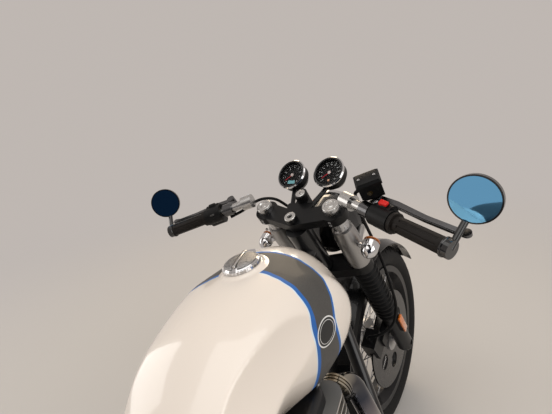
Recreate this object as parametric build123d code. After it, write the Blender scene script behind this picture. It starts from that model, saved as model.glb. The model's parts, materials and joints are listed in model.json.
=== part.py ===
from build123d import *
import os
from math import acos, asin, atan2, cos, pi, radians, sin, sqrt

os.makedirs("parts", exist_ok=True)

# A cafe racer motorcycle leaning on its side stand, its bars turned a little to the right.
# It is modelled upright: x forward from the rear axle, y to the left, z up from the ground.
# The last section leans it over onto the floor. Millimetres and degrees throughout.

# Wheels and steering
wheelbase = 1400.0
rake = 24.0
trail = 105.8
steer_rest = -13.0
lean = 12.0
steering_lock = 33.0
front_tyre_radius = 318.6
front_tyre_width = 100.0
rear_tyre_radius = 319.6
rear_tyre_width = 130.0
front_crown = front_tyre_width * 0.52
rear_crown = rear_tyre_width * 0.523
rim_seat_radius = 229.0
rim_flange_height = 13.0
rim_wall = 4.5
spoke_radius = 1.8
spokes_per_side = 18
axle_radius = 9.0
rail_rise = 402.4
rail_height = rear_tyre_radius + rail_rise
running_gap = 0.05
part_gap = 0.3
moving_gap = 5.0

# Fork and yokes
fork_half_width = 97.0
fork_tube_radius = 20.5
slider_radius = 27.0
yoke_height = 988.0
top_yoke_thickness = 22.0
stem_radius = 15.0
head_tube_radius = 31.0
lower_yoke_top = -190.0
lower_yoke_thickness = 30.0
clip_clamp_height = 32.0
gaiter_bottom = -465.0
gaiter_ribs = 13

fork_offset = front_tyre_radius * sin(radians(rake)) - trail * cos(radians(rake))
axle_drop = yoke_height - (front_tyre_radius * cos(radians(rake)) + trail * sin(radians(rake)))

MIN = (Align.CENTER, Align.CENTER, Align.MIN)
MID = (Align.CENTER, Align.CENTER, Align.CENTER)
nodes = {}


def rod(start, end, radius, end_radius=None):
    """A round bar between two points, tapered when an end radius is given."""
    a = Vector(*start)
    b = Vector(*end)
    place = Plane(origin=a, z_dir=b - a).location
    if end_radius is None or end_radius == radius:
        return place * Cylinder(radius, (b - a).length, align=MIN)
    return place * Cone(radius, end_radius, (b - a).length, align=MIN)


def bent_tube(points, bends, radius):
    """A round tube through points, its corners rounded to the listed bend radii."""
    path = FilletPolyline(*points, radius=bends)
    section = Plane(origin=path @ 0, z_dir=path % 0) * Circle(radius)
    return sweep(section, path=path)


def block(low, high):
    """A box between two corners."""
    size = [h - l for l, h in zip(low, high)]
    middle = [(l + h) / 2 for l, h in zip(low, high)]
    return Pos(*middle) * Box(*size)


def lathe_z(profile):
    """A turned piece about Z from (radius, height) points."""
    return revolve(Plane.XZ * make_face(Polyline(*profile, close=True)), Axis.Z)


def lathe_y(profile):
    """A turned piece about Y from (radius, side) points."""
    return revolve(make_face(Polyline(*profile, close=True)), Axis.Y)


def side_plate(outline, low, high):
    """A plate with an outline of (x, z) points, spanning y from low to high."""
    face = Plane.XZ * make_face(outline)
    return Pos(0, high, 0) * extrude(face, amount=high - low)


def mirrored(shape):
    """The same piece on the other side of the machine."""
    return mirror(shape, about=Plane.XZ)


def pair(shape):
    """A piece and its mirror image."""
    return [shape, mirrored(shape)]


def oval_hull(circles):
    """The outline round some (x, z, radius) circles."""
    edges = [Pos(x, z) * CenterArc((0, 0), r, 0, 360) for x, z, r in circles]
    return make_hull(edges)


def hull_plate(circles, low, high):
    """A plate whose outline wraps circles in the side view."""
    face = Plane.XZ * oval_hull(circles)
    return Pos(0, high, 0) * extrude(face, amount=high - low)


# Steering frame: X forward, Y left, Z up the steering axis, from the top yoke's upper face.
up_axis = Vector(-sin(radians(rake)), 0, cos(radians(rake)))
forward_axis = Vector(cos(radians(rake)), 0, sin(radians(rake)))
steering_foot = Vector(wheelbase + trail, 0, 0)
steering_plane = Plane(origin=steering_foot + up_axis * yoke_height, x_dir=forward_axis, z_dir=up_axis)
straight = steering_plane.location
turned = straight * Location((0, 0, 0), (0, 0, steer_rest))
front_wheel_place = turned * Location((fork_offset, 0, -axle_drop))
rear_wheel_place = Location((0, 0, rear_tyre_radius))


def add(name, shape, place=Location()):
    """Keeps a node: one or more solids in the upright machine's frame."""
    pieces = shape if isinstance(shape, (list, tuple)) else [shape]
    solids = []
    for piece in pieces:
        solids.extend(piece.moved(place).solids())
    nodes[name] = solids


# Wheels
def tyre(radius, width, crown, rim_half):
    """A tyre with a round crown, its beads inside the rim flanges and its inside hollow."""
    half = width / 2
    shoulder = radius - crown + sqrt(crown * crown - half * half)
    bead = rim_half - rim_wall
    seat = rim_seat_radius
    flange = seat + rim_flange_height + 2
    liner = radius - 14
    line = [
        ThreePointArc((shoulder, -half), (radius, 0), (shoulder, half)),
        ThreePointArc((shoulder, half), ((shoulder + flange) / 2, half - 1.5), (flange, bead)),
        Line((flange, bead), (seat, bead)),
        Line((seat, bead), (seat, bead - 12)),
        Line((seat, bead - 12), (shoulder - 6, half - 12)),
        Line((shoulder - 6, half - 12), (liner, half / 3)),
        Line((liner, half / 3), (liner, -half / 3)),
        Line((liner, -half / 3), (shoulder - 6, 12 - half)),
        Line((shoulder - 6, 12 - half), (seat, 12 - bead)),
        Line((seat, 12 - bead), (seat, -bead)),
        Line((seat, -bead), (flange, -bead)),
        ThreePointArc((flange, -bead), ((shoulder + flange) / 2, 1.5 - half), (shoulder, -half)),
    ]
    return revolve(make_face(line), Axis.Y)


def rim(rim_half):
    """A channel rim with upright flanges and a well, its inner face round for the spokes."""
    seat = rim_seat_radius
    top = seat + rim_flange_height
    well = seat - 12
    inner = rim_inner_radius
    half = [
        (top, rim_half),
        (top, rim_half - rim_wall + part_gap),
        (seat - part_gap, rim_half - rim_wall + part_gap),
        (seat - part_gap, rim_half - rim_wall - 12),
        (well, 16),
    ]
    under = [(inner, 14), (seat - 8, rim_half)]
    mirror_half = [(r, -y) for r, y in reversed(half)]
    mirror_under = [(r, -y) for r, y in reversed(under)]
    return lathe_y(half + mirror_half + mirror_under + under)


def wire_spokes(flange_radius, flange_side):
    """Crossed spokes between the two hub flanges and the rim."""
    gap = 360.0 / spokes_per_side
    ring = Cylinder(rim_inner_radius, 200, align=MID) - Cylinder(flange_radius, 220, align=MID)
    ring = Rot(90, 0, 0) * ring
    wires = []
    for side in (-1, 1):
        for index in range(spokes_per_side):
            turn = 1 if index % 2 else -1
            hub_angle = radians(index * gap + (gap / 2 if side > 0 else 0))
            rim_angle = hub_angle + turn * radians(spoke_lead)
            hub_r = flange_radius - 3
            rim_r = rim_inner_radius + 3
            hub_y = side * flange_side + turn * 4.0
            rim_y = side * 6.0 + turn * 2.6
            start = (hub_r * cos(hub_angle), hub_y, hub_r * sin(hub_angle))
            end = (rim_r * cos(rim_angle), rim_y, rim_r * sin(rim_angle))
            wires.append((rod(start, end, spoke_radius) & ring).solid())
    return wires


def wheel_hub(flange_radius, flange_side, barrel_radius, left_end, right_end, left_boss, right_boss):
    """A hub barrel with two thick spoke flanges and a bore for the axle."""
    thick = 7.0
    profile = [
        (axle_radius + running_gap, left_end),
        (left_boss, left_end),
        (left_boss, flange_side + thick),
        (flange_radius, flange_side + thick),
        (flange_radius, flange_side - thick),
        (barrel_radius, flange_side - thick - 8),
        (barrel_radius, -(flange_side - thick - 8)),
        (flange_radius, -(flange_side - thick)),
        (flange_radius, -(flange_side + thick)),
        (right_boss, -(flange_side + thick)),
        (right_boss, right_end),
        (axle_radius + running_gap, right_end),
    ]
    return lathe_y(profile)


def brake_disc(radius, band, thickness, side, carrier_radius):
    """A drilled brake disc with an open carrier."""
    disc = Rot(90, 0, 0) * Cylinder(radius, thickness, align=MID)
    disc = disc - Rot(90, 0, 0) * Cylinder(carrier_radius, thickness * 3, align=MID)
    window_radius = (radius - band + carrier_radius + 14) / 2
    for index in range(6):
        angle = radians(index * 60)
        spot = Pos(window_radius * cos(angle), 0, window_radius * sin(angle))
        disc = disc - spot * Rot(90, 0, 0) * Cylinder((radius - band - carrier_radius) / 3.2, 40, align=MID)
    return Pos(0, side, 0) * disc


rim_inner_radius = rim_seat_radius - 20
front_axle_half = 118.0
rear_axle_half = 140.0
spindle_bore = 5.0
spoke_lead = 58.0
front_rim_half = 40.5
rear_rim_half = 53.0
front_flange_side = 33.0
front_flange_radius = 50.0
rear_flange_side = 38.0
rear_flange_radius = 62.0
front_hub_half = 62.0
rear_hub_half = 78.0
front_disc_radius = 160.0
rear_disc_radius = 120.0
disc_thickness = 5.0
front_disc_side = -54.0
rear_disc_side = -72.0

add("front_tyre", tyre(front_tyre_radius, front_tyre_width, front_crown, front_rim_half), front_wheel_place)
add("front_rim", rim(front_rim_half), front_wheel_place)
add("front_spokes", wire_spokes(front_flange_radius, front_flange_side), front_wheel_place)
front_hub = wheel_hub(front_flange_radius, front_flange_side, 26, front_hub_half, -front_hub_half, 24, 40)
add("front_hub", front_hub, front_wheel_place)
front_disc = brake_disc(front_disc_radius, 38, disc_thickness, front_disc_side, 40)
add("front_disc", front_disc, front_wheel_place)
front_axle = rod((0, -front_axle_half, 0), (0, front_axle_half, 0), axle_radius)
front_axle = front_axle - rod((0, -200, 0), (0, 200, 0), spindle_bore)
add("front_axle", front_axle, front_wheel_place)

add("rear_tyre", tyre(rear_tyre_radius, rear_tyre_width, rear_crown, rear_rim_half), rear_wheel_place)
add("rear_rim", rim(rear_rim_half), rear_wheel_place)
add("rear_spokes", wire_spokes(rear_flange_radius, rear_flange_side), rear_wheel_place)
rear_hub = wheel_hub(rear_flange_radius, rear_flange_side, 34, rear_hub_half, -rear_hub_half, 58, 46)
add("rear_hub", rear_hub, rear_wheel_place)
rear_disc = brake_disc(rear_disc_radius, 32, disc_thickness, rear_disc_side, 46)
add("rear_disc", rear_disc, rear_wheel_place)

# Drive chain and sprockets
chain_pitch = 15.875
chain_links = 100
rear_teeth = 40
front_teeth = 16
chain_side = 86.0
sprocket_thickness = 6.0
shaft_height = 345.0


def pitch_radius(teeth):
    """The radius of the circle that the chain's pins lie on."""
    return chain_pitch / (2 * sin(pi / teeth))


def chain_length(distance):
    """The length of the loop round both sprockets at a centre distance."""
    big = pitch_radius(rear_teeth)
    small = pitch_radius(front_teeth)
    slope = asin((big - small) / distance)
    straight_run = 2 * distance * cos(slope)
    return straight_run + big * (pi + 2 * slope) + small * (pi - 2 * slope)


shaft_distance = 500.0
for step in range(40):
    shaft_distance += (chain_links * chain_pitch - chain_length(shaft_distance)) / 2
shaft_rise = shaft_height - rear_tyre_radius
shaft_x = sqrt(shaft_distance ** 2 - shaft_rise ** 2)


def chain_spot(links, offset):
    """A point of the loop in the side view, some links along its top run, front arc, low run and rear arc."""
    big = pitch_radius(rear_teeth)
    small = pitch_radius(front_teeth)
    run = sqrt(shaft_distance ** 2 - (big - small) ** 2)
    reach = acos((big - small) / shaft_distance)
    rise = atan2(shaft_rise, shaft_x)
    ahead = (links % chain_links) * chain_pitch
    share = 0.0
    if ahead < run:
        share = ahead / run
        angle = rise + reach
    elif ahead < run + 2 * reach * small:
        share = 1.0
        angle = rise + reach - (ahead - run) / small
    elif ahead < 2 * run + 2 * reach * small:
        share = 1 - (ahead - run - 2 * reach * small) / run
        angle = rise - reach
    else:
        angle = rise - reach - (ahead - 2 * run - 2 * reach * small) / big
    radius = big + share * (small - big) + offset
    level = rear_tyre_radius + share * shaft_rise + radius * sin(angle)
    return (share * shaft_x + radius * cos(angle), level)


def chain_outline(side):
    """The outer or inner edge of the linked plates: full at each pin and waisted between pins."""
    # Columns: links along from the pin, distance from the pitch line
    edge = [(-0.2, plate_height / 2), (0.2, plate_height / 2), (0.5, plate_waist / 2)]
    spots = [chain_spot(link + shift, side * away) for link in range(chain_links) for shift, away in edge]
    return Polyline(*spots, close=True)


def chain_link(link):
    """The wider plates of every second link."""
    # Columns: links along from the first pin, distance from the pitch line
    edge = [(-0.4, 0), (-0.18, 7.0), (1.18, 7.0), (1.4, 0), (1.18, -7.0), (-0.18, -7.0)]
    spots = [chain_spot(link + shift, away) for shift, away in edge]
    plates = Polyline(*spots, close=True)
    return side_plate(plates, chain_side - outer_plate_half, chain_side + outer_plate_half)


def toothed_disc(teeth, tip, root, thickness):
    """A sprocket blank with a tooth for each pitch."""
    # Columns: pitches from the tooth's middle, radius
    tooth = [(-0.3, root), (-0.12, tip), (0.12, tip), (0.3, root)]
    spots = []
    for index in range(teeth):
        for shift, radius in tooth:
            angle = (index + shift) * 2 * pi / teeth
            spots.append((radius * cos(angle), radius * sin(angle)))
    return side_plate(Polyline(*spots, close=True), -thickness / 2, thickness / 2)


plate_height = 13.0
plate_waist = 9.6
inner_plate_half = 6.5
outer_plate_half = 9.0
chain_face = make_face(chain_outline(1)) - make_face(chain_outline(-1))
chain_band = extrude(Plane.XZ * chain_face, amount=2 * inner_plate_half)
drive_chain = Pos(0, chain_side + inner_plate_half, 0) * chain_band
drive_chain = drive_chain + [chain_link(link) for link in range(0, chain_links, 2)]
add("drive_chain", drive_chain)

tooth_gap = 1.2
tooth_depth = 7.0
tooth_tip = pitch_radius(rear_teeth) - plate_height / 2 - tooth_gap
carrier_bolt_circle = 74.0
carrier_hole = 10.0
carrier_radius = 50.0
carrier_bore = 30.0
sprocket = toothed_disc(rear_teeth, tooth_tip, tooth_tip - tooth_depth, sprocket_thickness)
sprocket = sprocket - Rot(90, 0, 0) * Cylinder(carrier_bore, 40, align=MID)
for index in range(6):
    hole = Rot(0, index * 60, 0) * Pos(carrier_bolt_circle, 0, 0) * Rot(90, 0, 0)
    sprocket = sprocket - hole * Cylinder(carrier_hole, 40, align=MID)
sprocket = Pos(0, chain_side, 0) * sprocket
carrier = rod((0, rear_hub_half, 0), (0, chain_side - sprocket_thickness / 2, 0), carrier_radius)
carrier = carrier - rod((0, 0, 0), (0, 120, 0), carrier_bore)
add("rear_sprocket", sprocket + carrier, rear_wheel_place)
rear_axle = rod((0, -rear_axle_half, 0), (0, rear_axle_half, 0), axle_radius)
rear_axle = rear_axle - rod((0, -200, 0), (0, 200, 0), spindle_bore)
add("rear_axle", rear_axle, rear_wheel_place)

# Swingarm: two box arms and a pivot tube, with studs for the shock absorbers
arm_side = 118.0
arm_thickness = 26.0
arm_inner = arm_side - arm_thickness / 2
arm_outer = arm_side + arm_thickness / 2
pivot_x = 455.0
pivot_z = 335.0


def swing_arm(side):
    """One arm from the pivot to the axle plate."""
    circles = [(pivot_x, pivot_z, 28), (0, rear_tyre_radius, 30)]
    arm = hull_plate(circles, arm_inner, arm_outer)
    return arm if side > 0 else mirrored(arm)


def arm_tube(radius):
    """The cross tube at the pivot."""
    return rod((pivot_x, -arm_inner, pivot_z), (pivot_x, arm_inner, pivot_z), radius)


pivot_radius = 9.0
plate_inner = arm_outer + 3
plate_outer = plate_inner + 10
shock_side = 150.0
shock_eye_half = 14.0
shock_drop = 54.0
shock_top = (205, shock_side, rail_height - shock_drop)
shock_low = (28, shock_side, rear_tyre_radius + 18)
swingarm = swing_arm(1) + swing_arm(-1) + arm_tube(24)
pivot_half = plate_outer + 2
swingarm = swingarm + rod((pivot_x, -pivot_half, pivot_z), (pivot_x, pivot_half, pivot_z), pivot_radius)
swingarm = swingarm - rod((0, -200, rear_tyre_radius), (0, 200, rear_tyre_radius), axle_radius + part_gap)
for side in (-1, 1):
    stud_start = (shock_low[0], side * arm_inner, shock_low[2])
    stud_end = (shock_low[0], side * (shock_side - shock_eye_half), shock_low[2])
    swingarm = swingarm + rod(stud_start, stud_end, 9)
add("swingarm", swingarm)

# Chain guard: a strip over the top run with a lip outside, on two tabs from the arm
guard_gap = 10.0
guard_start = 3.0
guard_end = 24.0
guard_sheet = 2.5
guard_lip = 16.0
guard_low = [chain_spot(link, plate_height / 2 + guard_gap) for link in (guard_start, guard_end)]
guard_high = [(x, z + guard_sheet) for x, z in reversed(guard_low)]
lip_low = [(x, z - guard_lip) for x, z in guard_low]
guard_outer = arm_inner - part_gap
lip_inner = guard_outer - guard_sheet
strip = side_plate(Polyline(*guard_low, *guard_high, close=True), chain_side - 13, guard_outer)
strip = strip + side_plate(Polyline(*lip_low, *guard_high, close=True), lip_inner, guard_outer)
tab_half = 10.0
tab_top = guard_low[0][1] - 8
tab_bolt = 6.0
bolt_z = pivot_z + tab_bolt
for tab_x in (110, 300):
    strip = strip + block((tab_x - tab_half, lip_inner, pivot_z), (tab_x + tab_half, guard_outer, tab_top))
    strip = strip + rod((tab_x, lip_inner, bolt_z), (tab_x, arm_inner, bolt_z), tab_bolt)
add("chain_guard", strip)

# Frame: head tube and spine, the cradle's two side tubes, and the seat subframe
spine_radius = 22.0
cradle_radius = 16.0
cradle_side = 128.0
cradle_height = 205.0
rail_radius = 13.0
rail_side = 112.0
case_half = 108.0
case_front = 872.0
case_back = 500.0
case_lug_radius = 10.0
head_tube_top = -top_yoke_thickness - 4
head_tube_bottom = lower_yoke_top + 4


def steering_point(height, forward=0.0, side=0.0):
    """A point of the steering frame, with the bars straight, in the machine's frame."""
    spot = steering_foot + up_axis * (yoke_height + height) + forward_axis * forward
    return (spot.X, side, spot.Z)


head_low = steering_point(head_tube_bottom)
head_high = steering_point(head_tube_top)
spine_front = steering_point(-110)
spine_back = (570, 0, 735)
spine_tail = (470, 0, 684)
tank_gap = 5.0
spine = rod(head_low, head_high, head_tube_radius)
spine = spine + rod(spine_front, spine_back, spine_radius)
spine = spine + rod(spine_back, spine_tail, spine_radius)
spine_line = (Vector(*spine_front) - Vector(*spine_back)).normalized()
saddle_low = Vector(*spine_back) + spine_line * 290
spine = spine + rod(tuple(saddle_low), tuple(saddle_low + spine_line * 40), spine_radius + tank_gap)
spine = spine - rod(steering_point(-260), steering_point(60), stem_radius + running_gap)
add("frame_spine", spine)


def cradle(side):
    """A down tube and lower rail on one side."""
    top = steering_point(-150, -38, side * 24)
    points = [top, (940, side * cradle_side, 330), (905, side * cradle_side, cradle_height),
              (430, side * cradle_side, cradle_height), (pivot_x - 25, side * cradle_side, 290)]
    tube = bent_tube(points, [90, 50, 30], cradle_radius)
    for lug_x in (case_back + 140, case_front - 92):
        lug_start = (lug_x, side * case_half, cradle_height)
        tube = tube + rod(lug_start, (lug_x, side * cradle_side, cradle_height), case_lug_radius)
    plate_circles = [(pivot_x - 25, 275, 16), (pivot_x, pivot_z, 30), (430, 430, 16)]
    plate = hull_plate(plate_circles, plate_inner, plate_outer)
    plate = plate - rod((pivot_x, 0, pivot_z), (pivot_x, 200, pivot_z), pivot_radius + part_gap)
    return tube + (plate if side > 0 else mirrored(plate))


def seat_rail(side):
    """An upright from the pivot and the rail under the seat on one side."""
    points = [(430, side * (plate_inner + plate_outer) / 2, 425), (395, side * rail_side, 560),
              (360, side * rail_side, rail_height), (-120, side * (rail_side - 12), rail_height)]
    tube = bent_tube(points, [60, 60], rail_radius)
    bracket = hull_plate([(shock_top[0], rail_height, 13), (shock_top[0], shock_top[2], 13)],
                         rail_side - 4, shock_side - shock_eye_half)
    return tube + (bracket if side > 0 else mirrored(bracket))


cradles = [cradle(1), cradle(-1)]
add("frame_cradle", cradles)
seat_rails = [seat_rail(1) - cradles[0], seat_rail(-1) - cradles[1]]
add("frame_subframe", seat_rails)

# Engine
case_low = 182.0
case_top = 470.0
cylinder_front = 850.0
cylinder_back = 690.0
cylinder_half = 128.0
head_low_z = 612.0
head_top_z = 676.0
rocker_top = 704.0
fin_pitch = 14.0
fin_thickness = 3.5
rocker_margin = 24.0
cooler_back = 992.0

case_outline = Polyline((case_back, 300), (case_back + 60, 215), (case_back + 120, case_low),
                        (case_front - 72, case_low), (case_front, 260), (case_front, 400),
                        (cylinder_front + 6, case_top), (cylinder_back - 10, case_top),
                        (case_back + 140, 430), (case_back + 30, 430), (case_back, 400), close=True)
crankcase = side_plate(case_outline, -case_half, case_half)
crankcase = fillet(crankcase.edges().filter_by(Axis.Y), 18)
pocket_radius = 58.0
pocket_inner = chain_side - 16
pocket_outer = case_half + 40
pocket = rod((shaft_x, pocket_inner, shaft_height), (shaft_x, pocket_outer, shaft_height), pocket_radius)
pocket = pocket + block((case_back - 60, pocket_inner, shaft_height - pocket_radius),
                        (shaft_x, pocket_outer, shaft_height + pocket_radius))
crankcase = crankcase - pocket
shaft_start = (shaft_x, pocket_inner - 4, shaft_height)
crankcase = crankcase + rod(shaft_start, (shaft_x, chain_side + 10, shaft_height), 12)
filter_side = -40.0
filter_radius = 37.0
filter_start = (case_front - 20, filter_side, 300)
crankcase = crankcase + rod(filter_start, (case_front + 52, filter_side, 300), filter_radius)
starter_x = case_back + 100
crankcase = crankcase + rod((starter_x, -70, 455), (starter_x, 70, 455), 33)
for rib in range(5):
    rib_y = -70 + rib * 35
    rib_low = (case_back + 132, rib_y - 3, case_low - 10)
    crankcase = crankcase + block(rib_low, (case_front - 82, rib_y + 3, case_low + 10))
add("crankcase", crankcase)


def side_cover(outline, depth, edge, boss):
    """A left side cover with a rounded rim and a raised boss, from the case outwards."""
    cover = hull_plate(outline, case_half, case_half + depth)
    cover = fillet(cover.faces().sort_by(Axis.Y)[-1].edges(), edge)
    return cover + hull_plate(boss, case_half + depth - 2, case_half + depth + 6)


right_cover = mirrored(side_cover([(790, 338, 84), (590, 338, 84)], 44, 16, [(786, 338, 50), (640, 342, 40)]))
left_cover = side_cover([(806, 340, 72), (710, 340, 62)], 40, 14, [(800, 340, 46), (730, 340, 38)])
sprocket_circles = [(shaft_x, shaft_height, 64), (shaft_x + 16, shaft_height, 62)]
sprocket_cover = hull_plate(sprocket_circles, case_half, case_half + 32)
sprocket_cover = fillet(sprocket_cover.faces().sort_by(Axis.Y)[-1].edges(), 9)
sprocket_cover = sprocket_cover - hull_plate([(720, 340, 64), (806, 340, 73)], case_half - 1, case_half + 60)
add("engine_covers", [right_cover, left_cover, sprocket_cover])

fin_corner = 34.0
bore_gap = 26.0


def finned_block(low, high, inset):
    """A cylinder casting with level cooling fins, notched in front and behind between the two bores."""
    middle = Pos((cylinder_front + cylinder_back) / 2, 0, 0)
    depth = cylinder_front - cylinder_back
    core_corner = min(fin_corner - inset / 2, depth / 2 - inset - 1)
    core = RectangleRounded(depth - 2 * inset, 2 * (cylinder_half - inset), core_corner)
    fin = RectangleRounded(depth, 2 * cylinder_half, fin_corner)
    casting = middle * Pos(0, 0, low) * extrude(core, amount=high - low)
    count = int((high - low - fin_thickness) / fin_pitch) + 1
    spacing = (high - low - fin_thickness) / (count - 1)
    levels = [low + index * spacing for index in range(count)]
    fins = [middle * Pos(0, 0, level) * extrude(fin, amount=fin_thickness) for level in levels]
    casting = casting + fins
    for edge_x in (cylinder_front, cylinder_back):
        casting = casting - rod((edge_x, 0, low - 5), (edge_x, 0, high + 5), bore_gap)
    return casting


add("cylinder_block", finned_block(case_top, head_low_z, 14))
cylinder_head = finned_block(head_low_z, head_top_z, 12)
cover_depth = cylinder_front - cylinder_back - 2 * rocker_margin
cover_face = RectangleRounded(cover_depth, 2 * (cylinder_half - rocker_margin), 30)
cover_place = Pos((cylinder_front + cylinder_back) / 2, 0, head_top_z)
rocker = extrude(cover_face, amount=rocker_top - head_top_z)
rocker = cover_place * fillet(rocker.faces().sort_by(Axis.Z)[-1].edges(), 12)
cylinder_head = cylinder_head + rocker
for side in (-1, 1):
    plug_start = (cylinder_front - 30, side * 40, head_top_z - 30)
    plug = rod(plug_start, (cylinder_front + 22, side * 40, head_top_z + 6), 9)
    cylinder_head = cylinder_head + plug
add("cylinder_head", cylinder_head)

cooler = block((cooler_back, -64, 380), (cooler_back + 30, 64, 470))
for slot in range(6):
    slot_z = 389 + slot * 13
    cooler = cooler - block((cooler_back + 22, -56, slot_z), (cooler_back + 40, 56, slot_z + 7))
cooler = cooler + rod((cooler_back + 8, -100, 420), (cooler_back + 8, 100, 420), 6)
cooler = cooler - cradles[0] - cradles[1]
cooler = cooler.solids().sort_by(SortBy.VOLUME)[-1]
add("oil_cooler", cooler)

panel_inner = 142.0
panel_thickness = 8.0
intake = block((360, -80, 480), (560, 80, 660))
for side in (-1, 1):
    intake = intake + rod((550, side * 60, 610), (cylinder_back + 10, side * 60, 640), 26)
intake = intake - block((cylinder_back, -200, 500), (cylinder_back + 60, 200, 800))
for post_x, post_z in ((470, 645), (440, 560)):
    intake = intake + rod((post_x, -panel_inner, post_z), (post_x, panel_inner, post_z), 8)
add("air_box", intake)

# Exhaust
pipe_radius = 21.0
port_side = 97.0
silencer_side = 200.0
silencer_radius = 43.0
tail_length = 72.0
tail_radius = 30.0
tail_bore = 22.0
tail_depth = 60.0
port_z = 645.0
elbow_reach = 44.0
elbow_radius = 40.0
header_bend = 110.0
header_out = 188.0
header_low = 215.0
collar_radius = 31.0
collar_pitch = 7.0
silencer_front = Vector(400, silencer_side - 20, 218)


def port_rod(side, start, length, radius):
    """A round collar in line with a port, from a distance ahead of the cylinder head."""
    spot = cylinder_front + start
    return rod((spot, side * port_side, port_z), (spot + length, side * port_side, port_z), radius)


def header(side):
    """A header that leaves the port forwards, turns down in a tight elbow and sweeps back to the silencer."""
    points = [
        (cylinder_front - 4, side * port_side, port_z),
        (cylinder_front + elbow_reach, side * (port_side + 18), port_z - 3),
        (cylinder_front + 60, side * 138, 440),
        (cylinder_front + 32, side * header_out, header_low),
        (silencer_front.X, side * silencer_front.Y, silencer_front.Z),
    ]
    tube = bent_tube(points, [elbow_radius, header_bend, header_bend], pipe_radius)
    for ring in range(3):
        tube = tube + port_rod(side, ring * collar_pitch, 4, collar_radius)
    tube = tube + port_rod(side, 0, 20, collar_radius - 4)
    return tube - block((cylinder_front - 60, -300, 500), (cylinder_front, 300, 800))


def silencer(side):
    """A silencer with a taper at each end, its collar in line with the header's last run."""
    start = Vector(silencer_front.X, side * silencer_front.Y, silencer_front.Z)
    bend = Vector(cylinder_front + 32, side * header_out, header_low)
    inlet = start + (start - bend).normalized() * 20
    body_start = Vector(290, side * silencer_side, 232)
    body_end = Vector(-190, side * silencer_side, 282)
    body_length = (body_end - body_start).length
    full_length = body_length + tail_length
    bore_end = full_length - tail_depth
    body = lathe_z([(0, 0), (silencer_radius, 0), (silencer_radius, body_length), (tail_radius, full_length),
                    (tail_bore, full_length), (tail_bore, bore_end), (0, bore_end)])
    shape = rod(tuple(start), tuple(inlet), pipe_radius + 2)
    shape = shape + rod(tuple(inlet), tuple(body_start), pipe_radius, silencer_radius)
    return shape + Plane(origin=body_start, z_dir=body_end - body_start).location * body


add("exhaust_headers", [header(1), header(-1)])
add("silencers", [silencer(1), silencer(-1)])

# Fuel tank: sections across the machine, each of a bottom line and tangent arcs
# Columns: x, bottom z, widest z, top z, bottom half width, widest half width, shoulder radius
tank_sections = [
    (1010, 784, 814, 859, 32, 62, 30),
    (975, 732, 784, 903, 87, 122, 64),
    (900, 702, 806, 921, 102, 158, 89),
    (800, 712, 842, 921, 97, 142, 69),
    (690, 730, 848, 910, 56, 118, 53),
    (590, 708, 802, 867, 66, 112, 48),
    (505, 725, 789, 836, 53, 86, 34),
]
tunnel_half = 32.0
filler_x = 862.0
filler_z = 921.0
neck_radius = 24.0


def tank_section(x, low, wide, top, low_half, wide_half, shoulder):
    """A closed cross section with a flat bottom, bulging sides and a crowned top."""
    drop = top - wide
    reach = wide_half - shoulder
    crown = (reach ** 2 + drop ** 2 - shoulder ** 2) / (2 * (drop - shoulder))
    angle = atan2(reach, crown - drop)
    join_y = crown * sin(angle)
    join_z = top - crown + crown * cos(angle)
    mid = (angle + pi / 2) / 2
    shoulder_y = reach + shoulder * sin(mid)
    shoulder_z = wide + shoulder * cos(mid)
    inset = wide_half - low_half
    belly = (inset ** 2 + (wide - low) ** 2) / (2 * inset)
    half_turn = asin((wide - low) / belly) / 2
    belly_y = wide_half - belly + belly * cos(half_turn)
    belly_z = wide - belly * sin(half_turn)
    edges = [
        Line((-low_half, low), (low_half, low)),
        ThreePointArc((low_half, low), (belly_y, belly_z), (wide_half, wide)),
        ThreePointArc((wide_half, wide), (shoulder_y, shoulder_z), (join_y, join_z)),
        ThreePointArc((join_y, join_z), (0, top), (-join_y, join_z)),
        ThreePointArc((-join_y, join_z), (-shoulder_y, shoulder_z), (-wide_half, wide)),
        ThreePointArc((-wide_half, wide), (-belly_y, belly_z), (-low_half, low)),
    ]
    return Plane(origin=(x, 0, 0), x_dir=(0, 1, 0), z_dir=(1, 0, 0)) * make_face(edges)


tank = loft([tank_section(*row) for row in tank_sections])
tunnel_back = Vector(*spine_back) - spine_line * 200
tunnel_front = Vector(*spine_front) + spine_line * 60
tunnel_radius = spine_radius + tank_gap
tunnel = hull_plate([(tunnel_back.X, tunnel_back.Z, tunnel_radius), (tunnel_back.X, 600, tunnel_radius),
                     (tunnel_front.X, tunnel_front.Z, tunnel_radius), (tunnel_front.X, 600, tunnel_radius)],
                    -tunnel_half, tunnel_half)
tank = tank - tunnel
neck = rod((filler_x, 0, filler_z - 70), (filler_x, 0, filler_z + 60), neck_radius)
tank = tank - neck
filler_ring_radius = 40.0
ring = rod((filler_x, 0, filler_z - 12), (filler_x, 0, filler_z + 4), filler_ring_radius) - neck
tank = tank + ring
knee_radius = 200.0
knee_front = (684, 304, 861)
knee_back = (460, 254, 909)
knee = rod(knee_front, knee_back, knee_radius) + Pos(*knee_front) * Sphere(knee_radius)
tank = tank - pair(knee)
add("fuel_tank", tank)

# Filler lid, hinged at its front edge
lid_radius = 36.0
lid_low = filler_z + 4 + part_gap
lid_height = 13.0
hinge_radius = 5.0
hinge_half = 9.0
hinge_x = filler_x + lid_radius + 3
hinge_z = lid_low + 6
lid = lathe_z([(0, 0), (lid_radius, 0), (lid_radius, 5), (lid_radius - 8, lid_height - 2), (0, lid_height)])
lid = Pos(filler_x, 0, lid_low) * lid
lid = lid + block((hinge_x - 8, -hinge_half, lid_low), (hinge_x, hinge_half, lid_low + 5))
lid = lid + rod((hinge_x, -hinge_half, hinge_z), (hinge_x, hinge_half, hinge_z), hinge_radius)
add("filler_lid", lid)

# Seat, side panels, rear mudguard and lamps
seat_front = 500.0
seat_back = -172.0
seat_base = rail_height + rail_radius + part_gap
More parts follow.
